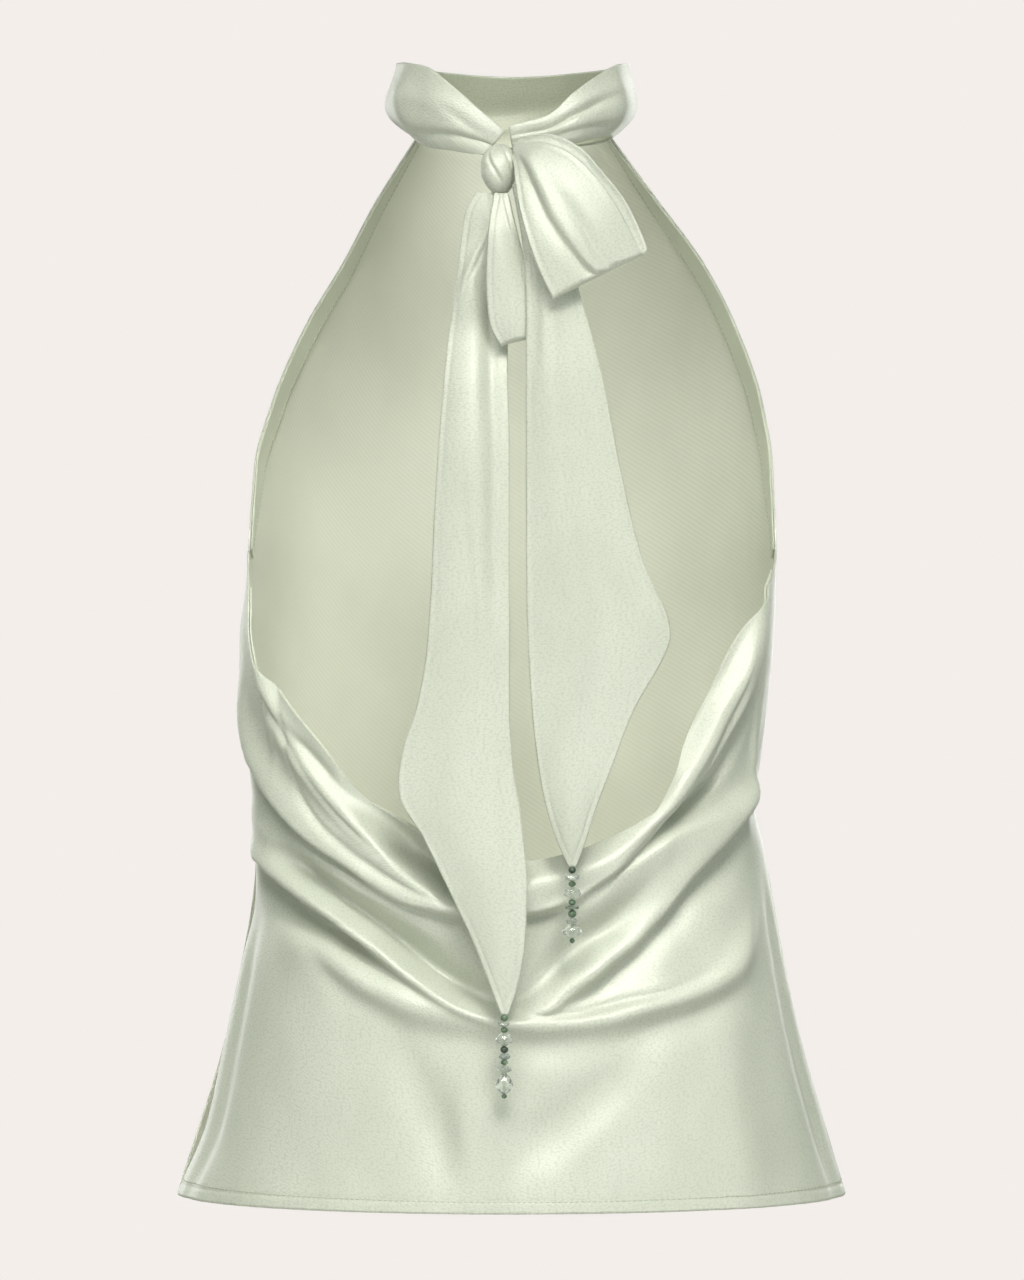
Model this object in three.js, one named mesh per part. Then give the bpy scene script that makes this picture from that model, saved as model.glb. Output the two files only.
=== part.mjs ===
// A backless halter neck top in hammered satin, in the hollow form that it has when worn.
//
// Millimetres, +Z up, +X to the wearer's left, +Y to the wearer's back. The origin is the
// centre of the neck at the height of the neck seam, where the wearer's neck holds the top up.
//
// A maker's pieces: one front from neck to hem, one back that hangs from the side seams in a
// cowl, a binding inside each armhole, a facing inside the cowl's edge, and a long folded tie
// that stands as a collar and is knotted at the back of the neck into a bow with two tails.
// A drop of beads hangs from the point of each tail.
import * as THREE from 'three';

// Driving dimensions
const CLOTH = 1.1;              // wall of one layer of satin, with its ease
const COLLAR_CLOTH = 1.8;       // the tie is folded double where it stands round the neck
const SEAM_GAP = 0.3;           // free width at every seam between two pieces
const COWL_FACING_EASE = 0.1;   // extra free width of the facing in the bends of the cowl's edge
const NECK_SEAM_RISE = 1.4;     // the leaning walls of tie and front meet with the seam gap
const SIDE_SEAM_Y = 2;          // the side seams run down in this plane
const HEM_Z = -557;
const ARMHOLE_FACING = 9;       // finished width of the binding turned inside the armhole
const FOLD_LEAN = 0.22;         // how far a fold's crest sags for each millimetre it stands out
const FOLD_END = 0.1;           // a fold across the back dies away over this share of a half
const FALL_END = 25;            // and a falling one over this height
const SEAM_EASE = 0.2;          // folds die away over this share of a half before a side seam
const CALM_FROM = -470;         // below the cowl, from this height
const CALM_TO = -500;           // to this one, folds no longer sag
const EDGE_SWEEP = 2.2;         // how sharply the front's rows turn up towards its edges
const NECK_FOLD_END = 0.36;     // the short folds under the neck seam are gone here
const BELLY_DROP = 0.6;         // how far the collar's belly sits below its middle
const THREAD = 0.9;             // half width of a bead drop's thread
const BEAD_SHOULDER = 0.3;      // a bead is widest between these shares of its height
const BEAD_WAIST = 0.62;
const BEAD_SIDES = 10;
const KNOT_SIDES = 14;
const DEGREE = Math.PI / 180;

// Round the body below the armholes: half widths to the wearer's left and right, and the
// depth of the back from the side seams. A row for each level.
const BODY = [
  { z: -200, left: 139.0, right: 139.6, back: 84 },
  { z: -232, left: 140.0, right: 139.2, back: 88 },
  { z: -265, left: 143.6, right: 137.8, back: 90 },
  { z: -296, left: 142.9, right: 134.8, back: 90 },
  { z: -329, left: 138.9, right: 130.9, back: 89 },
  { z: -350, left: 136.7, right: 127.4, back: 88 },
  { z: -375, left: 135.0, right: 132.6, back: 89 },
  { z: -400, left: 135.2, right: 136.9, back: 92 },
  { z: -435, left: 142.6, right: 143.4, back: 97 },
  { z: -477, left: 151.6, right: 152.6, back: 102 },
  { z: -520, left: 161.1, right: 164.6, back: 107 },
  { z: -557, left: 176.4, right: 175.8, back: 112 },
];

// The front, from the neck seam to the hem: where its edges and its middle lie, and how far
// round its edge turns in degrees. Down to the armpit the edge is the armhole.
const FRONT = [
  { down: 0.00, edgeZ: 0.0, edgeY: 8, left: 50.5, right: 52.5,
    middleZ: -1, middleY: -50, turn: 90 },
  { down: 0.07, edgeZ: -32.0, edgeY: -6, left: 72.0, right: 77.5,
    middleZ: -58, middleY: -74, turn: 78 },
  { down: 0.14, edgeZ: -64.0, edgeY: -25, left: 90.5, right: 102.5,
    middleZ: -104, middleY: -101, turn: 68 },
  { down: 0.21, edgeZ: -95.0, edgeY: -38, left: 110.0, right: 119.5,
    middleZ: -146, middleY: -119, turn: 64 },
  { down: 0.30, edgeZ: -138.0, edgeY: -41, left: 129.0, right: 134.5,
    middleZ: -192, middleY: -129, turn: 64 },
  { down: 0.37, edgeZ: -172.0, edgeY: -29, left: 137.6, right: 139.2,
    middleZ: -226, middleY: -132, turn: 70 },
  { down: 0.46, edgeZ: -217.0, edgeY: 2, left: 139.2, right: 139.6,
    middleZ: -268, middleY: -129, turn: 90 },
  { down: 0.60, edgeZ: -300.0, edgeY: 2, left: 142.5, right: 134.4,
    middleZ: -336, middleY: -117, turn: 90 },
  { down: 0.645, edgeZ: -329.0, edgeY: 2, left: 138.9, right: 130.9,
    middleZ: -361, middleY: -115, turn: 90 },
  { down: 0.68, edgeZ: -350.0, edgeY: 2, left: 136.7, right: 127.4,
    middleZ: -380, middleY: -113, turn: 90 },
  { down: 0.72, edgeZ: -375.0, edgeY: 2, left: 135.0, right: 132.6,
    middleZ: -400, middleY: -111, turn: 90 },
  { down: 0.86, edgeZ: -465.0, edgeY: 2, left: 149.0, right: 149.8,
    middleZ: -478, middleY: -121, turn: 90 },
  { down: 1.00, edgeZ: -557.0, edgeY: 2, left: 176.4, right: 175.8,
    middleZ: -557, middleY: -136, turn: 90 },
];

// Soft folds that fall down the front: where each lies across (-1 right to 1 left), where it
// starts and is full, how far it stands out and its half width across.
const FRONT_FOLDS = [
  { across: -0.72, starts: 0.42, full: 1.0, out: 4.5, width: 0.11 },
  { across: -0.46, starts: 0.50, full: 1.0, out: -4.0, width: 0.10 },
  { across: -0.18, starts: 0.46, full: 1.0, out: 5.0, width: 0.12 },
  { across: 0.12, starts: 0.52, full: 1.0, out: -4.0, width: 0.10 },
  { across: 0.38, starts: 0.48, full: 1.0, out: 4.5, width: 0.11 },
  { across: 0.68, starts: 0.50, full: 1.0, out: -3.5, width: 0.10 },
  { across: -0.30, starts: 0.02, full: 0.12, out: 2.0, width: 0.08 },
  { across: 0.06, starts: 0.02, full: 0.12, out: -1.5, width: 0.07 },
  { across: 0.34, starts: 0.02, full: 0.12, out: 2.0, width: 0.08 },
];

// The swags of the back: the height of each line of the drape at nine places round from the
// wearer's left side seam to the right one. "down" is the share of the panel above it.
const SWAG_PLACES = { leftSide: 1, leftOuter: 0.67, leftHalf: 0.5, leftInner: 0.36, middle: 0,
  rightInner: -0.36, rightHalf: -0.5, rightOuter: -0.67, rightSide: -1 };
const SWAGS = [
  { down: 0.00, leftSide: -218, leftOuter: -286, leftHalf: -319, leftInner: -350, middle: -379,
    rightInner: -353, rightHalf: -304, rightOuter: -258, rightSide: -218 },
  { down: 0.10, leftSide: -234, leftOuter: -305, leftHalf: -338, leftInner: -367, middle: -397,
    rightInner: -358, rightHalf: -319, rightOuter: -279, rightSide: -232 },
  { down: 0.19, leftSide: -262, leftOuter: -332, leftHalf: -363, leftInner: -388, middle: -408,
    rightInner: -368, rightHalf: -335, rightOuter: -297, rightSide: -252 },
  { down: 0.30, leftSide: -312, leftOuter: -358, leftHalf: -382, leftInner: -401, middle: -430,
    rightInner: -386, rightHalf: -358, rightOuter: -326, rightSide: -292 },
  { down: 0.42, leftSide: -365, leftOuter: -385, leftHalf: -400, leftInner: -414, middle: -448,
    rightInner: -410, rightHalf: -387, rightOuter: -360, rightSide: -336 },
  { down: 0.54, leftSide: -402, leftOuter: -417, leftHalf: -430, leftInner: -441, middle: -462,
    rightInner: -448, rightHalf: -438, rightOuter: -424, rightSide: -400 },
  { down: 0.74, leftSide: -470, leftOuter: -477, leftHalf: -483, leftInner: -487, middle: -495,
    rightInner: -489, rightHalf: -485, rightOuter: -480, rightSide: -470 },
  { down: 1.00, leftSide: HEM_Z, leftOuter: HEM_Z, leftHalf: HEM_Z, leftInner: HEM_Z,
    middle: HEM_Z, rightInner: HEM_Z, rightHalf: HEM_Z, rightOuter: HEM_Z, rightSide: HEM_Z },
];

// Folds that run across the back. Each follows a line of places across (1 at the left side
// seam, -1 at the right) and heights, stands out from the panel or, below zero, lies in it,
// and spreads by "above" and "below".
const CROSS_FOLDS = [
  { name: 'rim roll', out: 7.0, above: 6, below: 9,
    line: [[0.8, -250], [0.72, -273], [0.67, -299], [0.6, -319], [0.5, -339], [0.4, -356],
      [0.28, -377], [0.2, -390], [0.13, -397], [0.05, -396], [-0.04, -388], [-0.12, -383],
      [-0.22, -376], [-0.3, -366], [-0.38, -354], [-0.45, -335], [-0.51, -318], [-0.57, -299],
      [-0.64, -282], [-0.69, -268], [-0.75, -252]] },
  { name: 'lip', out: 7.5, above: 13, below: 6,
    line: [[1, -282], [0.89, -304], [0.82, -323], [0.72, -342], [0.62, -357], [0.53, -368],
      [0.42, -379], [0.33, -390], [0.25, -397], [0.17, -400], [0.1, -402], [-0.03, -402],
      [-0.12, -397], [-0.22, -383], [-0.3, -372], [-0.36, -363], [-0.41, -355], [-0.45, -345],
      [-0.52, -332], [-0.58, -317], [-0.64, -301], [-0.7, -283], [-0.75, -266]] },
  { name: 'edge trough', out: -4.5, above: 6, below: 6,
    line: [[0.7, -296], [0.62, -312], [0.51, -331], [0.42, -349]] },
  { name: 'left pocket', out: -11.0, above: 13, below: 6,
    line: [[0.37, -357], [0.29, -371], [0.2, -384], [0.13, -392], [0.05, -391]] },
  { name: 'under the lip, left', out: -7.5, above: 6, below: 10,
    line: [[1, -297], [0.95, -324], [0.77, -348], [0.62, -364]] },
  { name: 'second roll', out: 5.0, above: 8, below: 12,
    line: [[1, -351], [0.67, -368], [0.53, -381], [0.42, -392], [0.27, -404], [0.15, -411],
      [0.08, -413]] },
  { name: 'left trough', out: -9.0, above: 12, below: 6,
    line: [[0.66, -380], [0.56, -389], [0.45, -401], [0.35, -412], [0.27, -423], [0.17, -438],
      [0.07, -449], [0.01, -452]] },
  { name: 'left ridge', out: 7.0, above: 7, below: 6,
    line: [[0.91, -370], [0.71, -385], [0.6, -394], [0.48, -405], [0.41, -414], [0.33, -424],
      [0.26, -433], [0.16, -446], [0.07, -455]] },
  { name: 'left hollow', out: -10.0, above: 6, below: 12,
    line: [[1, -379], [0.81, -391], [0.69, -400], [0.59, -408], [0.47, -416], [0.4, -422],
      [0.34, -428]] },
  { name: 'left bloom', out: 4.0, above: 9, below: 16,
    line: [[0.64, -416], [0.56, -419], [0.48, -425]] },
  { name: 'long ridge', out: 6.0, above: 7, below: 10,
    line: [[0.49, -422], [0.41, -432], [0.31, -444], [0.21, -452], [0.05, -458], [-0.06, -461],
      [-0.2, -460], [-0.32, -453], [-0.47, -444], [-0.6, -430], [-0.69, -414]] },
  { name: 'left soft crease', out: -2.0, above: 6, below: 8,
    line: [[0.5, -430], [0.44, -440], [0.36, -449], [0.29, -454]] },
  { name: 'right hollow', out: -8.5, above: 7, below: 6,
    line: [[-0.32, -371], [-0.38, -363], [-0.46, -354], [-0.54, -347], [-0.61, -339],
      [-0.67, -326], [-0.72, -309], [-0.76, -291]] },
  { name: 'right roll', out: 7.0, above: 6, below: 14,
    line: [[-0.11, -402], [-0.18, -396], [-0.24, -388], [-0.33, -377], [-0.42, -367],
      [-0.53, -359], [-0.65, -353], [-0.76, -347], [-0.85, -336]] },
  { name: 'right lip', out: 6.0, above: 12, below: 6,
    line: [[-0.04, -456], [-0.08, -452], [-0.14, -444], [-0.2, -435], [-0.25, -427], [-0.3, -419],
      [-0.35, -410], [-0.4, -399], [-0.47, -386], [-0.53, -377], [-0.61, -366], [-0.7, -355],
      [-0.78, -345], [-0.81, -332]] },
  { name: 'under the right lip', out: -6.5, above: 6, below: 12,
    line: [[-0.15, -446], [-0.2, -440], [-0.25, -432], [-0.31, -423], [-0.35, -415], [-0.41, -405],
      [-0.48, -392], [-0.55, -382], [-0.64, -370], [-0.74, -356]] },
  { name: 'middle hollow', out: -7.0, above: 9, below: 9,
    line: [[-0.02, -447], [-0.06, -441], [-0.11, -431], [-0.16, -422], [-0.23, -414], [-0.3, -405]] },
  { name: 'thin crease', out: -2.2, above: 6, below: 6,
    line: [[0, -456], [-0.06, -457], [-0.13, -457], [-0.2, -454], [-0.27, -450], [-0.35, -447],
      [-0.44, -441], [-0.52, -435]] },
  { name: 'low band', out: -4.5, above: 9, below: 12,
    line: [[-0.02, -472], [-0.1, -471], [-0.24, -466], [-0.34, -462], [-0.45, -457], [-0.58, -446]] },
  { name: 'low dent', out: -5.5, above: 13, below: 15,
    line: [[-0.01, -525], [-0.07, -518], [-0.16, -500], [-0.28, -481]] },
];

// Folds that fall down the lower back: a line of heights and places across.
const FALLING_FOLDS = [
  { name: 'left fall', out: -4.0, width: 13, line: [[-470, 0.25], [-500, 0.19], [-540, 0.11]] },
  { name: 'middle fall', out: 3.5, width: 10, line: [[-480, 0.085], [-515, 0.09], [-548, 0.085]] },
  { name: 'right fall', out: 3.0, width: 20, line: [[-410, -0.62], [-470, -0.52], [-552, -0.5]] },
  { name: 'left side fall', out: -3.5, width: 12, line: [[-420, 0.86], [-480, 0.84], [-552, 0.83]] },
  { name: 'right side fall', out: -3.5, width: 12, line: [[-400, -0.88], [-480, -0.85], [-552, -0.84]] },
];

// The tie from each corner of the neckline to the knot: its foot, its top edge and how far
// its middle bellies out. Between the corners its foot follows the neck seam.
const LEFT_WRAP = [
  { turn: 1.00, footX: 50.5, footY: 8, footZ: 1.4, topX: 60.5, topY: 8, topZ: 39, belly: 12 },
  { turn: 1.30, footX: 50.5, footY: 34, footZ: -2, topX: 56, topY: 32, topZ: 37, belly: 10 },
  { turn: 1.55, footX: 42, footY: 50, footZ: -8, topX: 44, topY: 49, topZ: 33, belly: 5 },
  { turn: 1.75, footX: 30, footY: 58.5, footZ: -10.5, topX: 30, topY: 58.5, topZ: 21.5, belly: 4 },
  { turn: 1.90, footX: 21, footY: 63, footZ: -12.5, topX: 17, topY: 63.5, topZ: 8, belly: 2 },
  { turn: 2.00, footX: 15, footY: 66.6, footZ: -13.5, topX: 6, topY: 67.2, topZ: -5, belly: 0.3 },
];
const RIGHT_WRAP = [
  { turn: 1.00, footX: -52.5, footY: 8, footZ: 1.4, topX: -61, topY: 8, topZ: 39, belly: 9.5 },
  { turn: 1.30, footX: -51, footY: 34, footZ: 0, topX: -55, topY: 32, topZ: 36, belly: 8.5 },
  { turn: 1.55, footX: -41, footY: 50, footZ: -3.5, topX: -42, topY: 49, topZ: 27, belly: 5 },
  { turn: 1.75, footX: -31, footY: 58, footZ: -6.5, topX: -31, topY: 58, topZ: 18, belly: 4 },
  { turn: 1.90, footX: -17, footY: 62.5, footZ: -9, topX: -19, topY: 62.5, topZ: 5, belly: 2 },
  { turn: 2.00, footX: -1, footY: 67, footZ: -10.5, topX: -1, topY: 66.5, topZ: -2.5, belly: 0.5 },
];
// Round the front the tie stands with this height, belly and flare of its top edge.
const COLLAR = [
  { turn: -1.0, topZ: 39, belly: 9.5, flare: 8.5 },
  { turn: -0.5, topZ: 39, belly: 4, flare: 5.0 },
  { turn: 0.0, topZ: 38, belly: 2, flare: 4.5 },
  { turn: 0.5, topZ: 39, belly: 4, flare: 5.0 },
  { turn: 1.0, topZ: 39, belly: 12, flare: 10 },
];

// The knot: level rings from its top to its foot.
const KNOT = [
  { z: -8.8, x: 4.8, y: 69.0, halfWidth: 2.5, halfDepth: 1.8 },
  { z: -11.0, x: 6.2, y: 70.8, halfWidth: 6.2, halfDepth: 4.8 },
  { z: -15.0, x: 7.6, y: 72.4, halfWidth: 7.8, halfDepth: 6.4 },
  { z: -22.0, x: 7.6, y: 73.8, halfWidth: 8.1, halfDepth: 7.4 },
  { z: -28.0, x: 7.2, y: 74.6, halfWidth: 7.7, halfDepth: 7.0 },
  { z: -32.0, x: 7.0, y: 75.0, halfWidth: 6.8, halfDepth: 5.8 },
  { z: -34.0, x: 7.0, y: 74.8, halfWidth: 5.2, halfDepth: 4.2 },
];

// The tails: level rows from the knot to the point, with the edge on the wearer's left, the
// edge on the right, how far back the cloth hangs and how far its middle cups outwards.
const LEFT_TAIL = [
  { z: -34.4, left: 18, right: 10, y: 74.5, cup: 1 },
  { z: -45, left: 23.5, right: 8.5, y: 75.5, cup: 2 },
  { z: -58, left: 25.5, right: 8, y: 76.5, cup: 2 },
  { z: -75, left: 27.5, right: 8, y: 78, cup: 2 },
  { z: -100, left: 31, right: 4, y: 80.5, cup: 2 },
  { z: -116, left: 33, right: 3, y: 84.5, cup: 2.5 },
  { z: -135, left: 34.8, right: 2.8, y: 89.5, cup: 3.5 },
  { z: -165, left: 37, right: 2, y: 95, cup: 4 },
  { z: -205, left: 39.3, right: 2, y: 99, cup: 4 },
  { z: -245, left: 41, right: 2, y: 101.5, cup: 4 },
  { z: -275, left: 43.5, right: 2, y: 103.5, cup: 4 },
  { z: -301, left: 48.5, right: 2, y: 105.5, cup: 4 },
  { z: -321, left: 55, right: 1, y: 107, cup: 4 },
  { z: -336, left: 57.3, right: -0.5, y: 108, cup: 4 },
  { z: -343, left: 57, right: -2, y: 108.5, cup: 4 },
  { z: -366, left: 44.5, right: -5, y: 110.5, cup: 3.5 },
  { z: -388, left: 33.7, right: -7, y: 112.5, cup: 3 },
  { z: -418, left: 19.5, right: -6, y: 114.5, cup: 2.5 },
  { z: -440, left: 10.8, right: -2.3, y: 117, cup: 1.5 },
  { z: -455, left: 5.2, right: 2.4, y: 119, cup: 0 },
];
const RIGHT_TAIL = [
  { z: -30, left: -0.7, right: -6.5, y: 76, cup: 0.5 },
  { z: -38, left: -2.4, right: -10.5, y: 79, cup: 1 },
  { z: -47, left: -4, right: -16, y: 82, cup: 1.5 },
  { z: -60, left: -6, right: -24, y: 85.5, cup: 2 },
  { z: -75, left: -7.4, right: -30.5, y: 89, cup: 2.5 },
  { z: -92, left: -8, right: -35.5, y: 92, cup: 3 },
  { z: -127, left: -8, right: -45, y: 96, cup: 3.5 },
  { z: -178, left: -8, right: -55, y: 100, cup: 4 },
  { z: -222, left: -8, right: -65.5, y: 102, cup: 4.5 },
  { z: -240, left: -8.2, right: -73, y: 103, cup: 4.5 },
  { z: -256, left: -8.5, right: -79.6, y: 104, cup: 4.5 },
  { z: -263, left: -8.8, right: -80.4, y: 104.3, cup: 4.5 },
  { z: -272, left: -9.2, right: -77.5, y: 104.8, cup: 4.5 },
  { z: -301, left: -11, right: -61.5, y: 106.5, cup: 4 },
  { z: -328, left: -14, right: -51, y: 108, cup: 3.5 },
  { z: -350, left: -18, right: -42.5, y: 109.5, cup: 3 },
  { z: -366, left: -23, right: -37.4, y: 110.5, cup: 2 },
  { z: -380, left: -29.4, right: -32.2, y: 111.5, cup: 0 },
];

// The bow's loops: the tie leaves the knot, turns over and comes back behind itself. A row
// holds its lower left edge, its upper right edge and how far its middle cups outwards.
const BOW_LOOP = [
  { x: -0.7, z: -15, y: 75.5, upperX: -1.2, upperZ: -8.5, upperY: 76.5, cup: 0.5 },
  { x: -1.8, z: -24, y: 85, upperX: -14, upperZ: -9, upperY: 83, cup: 1.5 },
  { x: -3.5, z: -38, y: 92, upperX: -27.5, upperZ: -14, upperY: 88.5, cup: 2.5 },
  { x: -8.2, z: -58, y: 99, upperX: -42.5, upperZ: -27.5, upperY: 93, cup: 3 },
  { x: -14.2, z: -75, y: 102.5, upperX: -54.5, upperZ: -45, upperY: 95.5, cup: 3 },
  { x: -20.2, z: -87.5, y: 103.5, upperX: -65, upperZ: -65, upperY: 95.5, cup: 2 },
  { x: -21.2, z: -90, y: 102, upperX: -67.5, upperZ: -66.5, upperY: 94, cup: 0.5 },
  { x: -21, z: -88, y: 100.3, upperX: -68.6, upperZ: -64, upperY: 92.2, cup: -1 },
  { x: -16, z: -73, y: 97, upperX: -58.8, upperZ: -41, upperY: 87.5, cup: -1.5 },
  { x: -10.5, z: -58, y: 92.5, upperX: -47.2, upperZ: -25.5, upperY: 84, cup: -1.5 },
  { x: -6, z: -38, y: 86.5, upperX: -34, upperZ: -11, upperY: 80, cup: -1 },
  { x: -3.6, z: -23, y: 79.5, upperX: -18, upperZ: -4.2, upperY: 75.5, cup: -0.5 },
  { x: -2.2, z: -14, y: 73.5, upperX: -4, upperZ: -5.5, upperY: 71.5, cup: -0.2 },
];
const MIDDLE_LOOP = [
  { x: 8.6, z: -34.9, y: 78.6, upperX: 2.6, upperZ: -34.9, upperY: 79, cup: 0.5 },
  { x: 11.5, z: -55, y: 87.5, upperX: -2, upperZ: -55, upperY: 85.5, cup: 1.2 },
  { x: 12.6, z: -80, y: 90.5, upperX: -8.5, upperZ: -80, upperY: 87.5, cup: 1.5 },
  { x: 10.8, z: -102, y: 92.3, upperX: -12.5, upperZ: -100, upperY: 89.5, cup: 1.5 },
  { x: 6.4, z: -111.5, y: 92.3, upperX: -13.6, upperZ: -107, upperY: 89.7, cup: 1 },
  { x: 5, z: -113.2, y: 91.2, upperX: -14, upperZ: -108.4, upperY: 88.6, cup: 0.3 },
  { x: 5.6, z: -111.5, y: 90, upperX: -13.6, upperZ: -107, upperY: 87.4, cup: -0.4 },
  { x: 8.8, z: -100, y: 88.2, upperX: -11.5, upperZ: -99, upperY: 85.5, cup: -0.8 },
  { x: 9.2, z: -80, y: 86, upperX: -7.5, upperZ: -80, upperY: 83.5, cup: -0.8 },
  { x: 8, z: -56, y: 81.5, upperX: -1, upperZ: -56, upperY: 80, cup: -0.6 },
  { x: 7, z: -34.6, y: 75.6, upperX: 3, upperZ: -34.6, upperY: 75.8, cup: -0.2 },
];

// The bead drops: half widths of the beads on their thread, from the point of the tail down.
const LEFT_DROP = { x: 3.9, y: 119, top: -455.6, beads: [
  { size: 3.6, half: 1.9 }, { size: 2.8, half: 3.4 }, { size: 3.0, half: 1.9 },
  { size: 6.6, half: 4.6 }, { size: 3.8, half: 2.1 }, { size: 3.2, half: 3.6 },
  { size: 2.8, half: 1.9 }, { size: 3.8, half: 4.3 }, { size: 10.8, half: 4.7 },
  { size: 2.4, half: 1.4 },
] };
const RIGHT_DROP = { x: -30.7, y: 111.5, top: -380.6, beads: [
  { size: 3.6, half: 1.9 }, { size: 3.8, half: 4.4 }, { size: 3.0, half: 1.9 },
  { size: 6.2, half: 4.7 }, { size: 3.2, half: 1.9 }, { size: 2.2, half: 4.0 },
  { size: 4.2, half: 2.2 }, { size: 3.6, half: 3.9 }, { size: 6.6, half: 5.0 },
  { size: 2.8, half: 1.3 },
] };

// Smooth reading of tables

/** A smooth curve through rising places that never overshoots the values given there. */
function smoothCurve(places, values) {
  const last = places.length - 1;
  const rise = places.slice(0, last).map((place, i) =>
    (values[i + 1] - values[i]) / (places[i + 1] - place));
  const slope = places.map((place, i) => {
    if (i === 0) return rise[0];
    if (i === last) return rise[last - 1];
    const product = rise[i - 1] * rise[i];
    return product <= 0 ? 0 : (2 * product) / (rise[i - 1] + rise[i]);
  });
  return (place) => {
    if (place <= places[0]) return values[0];
    if (place >= places[last]) return values[last];
    let i = 0;
    while (place > places[i + 1]) i += 1;
    const width = places[i + 1] - places[i];
    const t = (place - places[i]) / width;
    const early = values[i] * (1 + 2 * t) + slope[i] * width * t;
    const late = values[i + 1] * (3 - 2 * t) - slope[i + 1] * width * (1 - t);
    return early * (1 - t) ** 2 + late * t ** 2;
  };
}

/** One smooth curve for each column of a table, read at the column named by `place`. */
function columns(rows, place) {
  const ordered = rows[0][place] < rows[rows.length - 1][place] ? rows : [...rows].reverse();
  const places = ordered.map((row) => row[place]);
  return Object.fromEntries(Object.keys(rows[0]).map((name) =>
    [name, smoothCurve(places, ordered.map((row) => row[name]))]));
}

/** A curve through pairs of a place and a value, which runs on straight past its ends. */
function throughPairs(pairs) {
  const ordered = [...pairs].sort((one, other) => one[0] - other[0]);
  const places = ordered.map((pair) => pair[0]);
  const values = ordered.map((pair) => pair[1]);
  const last = places.length - 1;
  const curve = smoothCurve(places, values);
  const slopeAt = (i) => (values[i + 1] - values[i]) / (places[i + 1] - places[i]);
  return (place) => {
    if (place < places[0]) return values[0] + slopeAt(0) * (place - places[0]);
    if (place > places[last]) return values[last] + slopeAt(last - 1) * (place - places[last]);
    return curve(place);
  };
}

const smoothStep = (from, to, place) => THREE.MathUtils.smoothstep(place, from, to);

/** The height of a fold at a distance from its line, steep on one side and easy on the other. */
const foldShape = (distance, above, below) =>
  Math.exp(-((distance / (distance > 0 ? above : below)) ** 2));

// Making closed solids

/** Turn a closed mesh so that its faces point out. */
function facingOut(vertices, triangles) {
  let volume = 0;
  for (const [a, b, c] of triangles) volume += vertices[a].dot(vertices[b].clone().cross(vertices[c]));
  const turned = volume > 0 ? triangles : triangles.map(([a, b, c]) => [a, c, b]);
  const geometry = new THREE.BufferGeometry();
  const places = vertices.flatMap((vertex) => vertex.toArray());
  geometry.setAttribute('position', new THREE.Float32BufferAttribute(places, 3));
  geometry.setIndex(turned.flat());
  geometry.computeVertexNormals();
  return geometry;
}

/** A grid of points over a sheet of cloth, with the direction of its face at each of them. */
function sheetGrid(point, across, along, settle = (normal) => normal) {
  const at = (i, j) => j * (across + 1) + i;
  const middle = [];
  for (let j = 0; j <= along; j += 1) {
    for (let i = 0; i <= across; i += 1) middle.push(point(i, j));
  }
  const normals = middle.map((_, index) => {
    const [i, j] = [index % (across + 1), Math.floor(index / (across + 1))];
    const over = middle[at(Math.min(i + 1, across), j)].clone().sub(middle[at(Math.max(i - 1, 0), j)]);
    const down = middle[at(i, Math.min(j + 1, along))].clone().sub(middle[at(i, Math.max(j - 1, 0))]);
    return settle(over.cross(down), i, j).normalize();
  });
  return { across, along, at, middle, normals };
}

/** A closed wall on part of a sheet's grid, from one distance off its middle to another. */
function wallOn(grid, low, high, { columns: [left, right], rows: [top, foot] }) {
  const width = right - left + 1;
  const vertices = [];
  for (const offset of [high, low]) {
    for (let j = top; j <= foot; j += 1) {
      for (let i = left; i <= right; i += 1) {
        const index = grid.at(i, j);
        vertices.push(grid.middle[index].clone().addScaledVector(grid.normals[index], offset));
      }
    }
  }
  const back = vertices.length / 2;
  const at = (i, j) => j * width + i;
  const [across, along] = [right - left, foot - top];
  const triangles = [];
  const quad = (a, b, c, d) => {
    const split = vertices[a].distanceTo(vertices[c]) <= vertices[b].distanceTo(vertices[d]);
    triangles.push(...(split ? [[a, b, c], [a, c, d]] : [[a, b, d], [b, c, d]]));
  };
  for (let j = 0; j < along; j += 1) {
    for (let i = 0; i < across; i += 1) {
      const corners = [at(i, j), at(i + 1, j), at(i + 1, j + 1), at(i, j + 1)];
      quad(...corners);
      quad(...corners.reverse().map((corner) => corner + back));
    }
  }
  const rim = [];
  for (let i = 0; i < across; i += 1) rim.push(at(i, 0));
  for (let j = 0; j < along; j += 1) rim.push(at(across, j));
  for (let i = across; i > 0; i -= 1) rim.push(at(i, along));
  for (let j = along; j > 0; j -= 1) rim.push(at(0, j));
  rim.forEach((corner, i) => {
    const next = rim[(i + 1) % rim.length];
    quad(next, corner, corner + back, next + back);
  });
  return facingOut(vertices, triangles);
}

/** A whole wall of cloth whose middle is point(s, t), with s and t from 0 to 1. */
function clothWall(point, thickness, across, along) {
  const grid = sheetGrid((i, j) => point(i / across, j / along), across, along);
  return wallOn(grid, -thickness / 2, thickness / 2, { columns: [0, across], rows: [0, along] });
}

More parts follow.
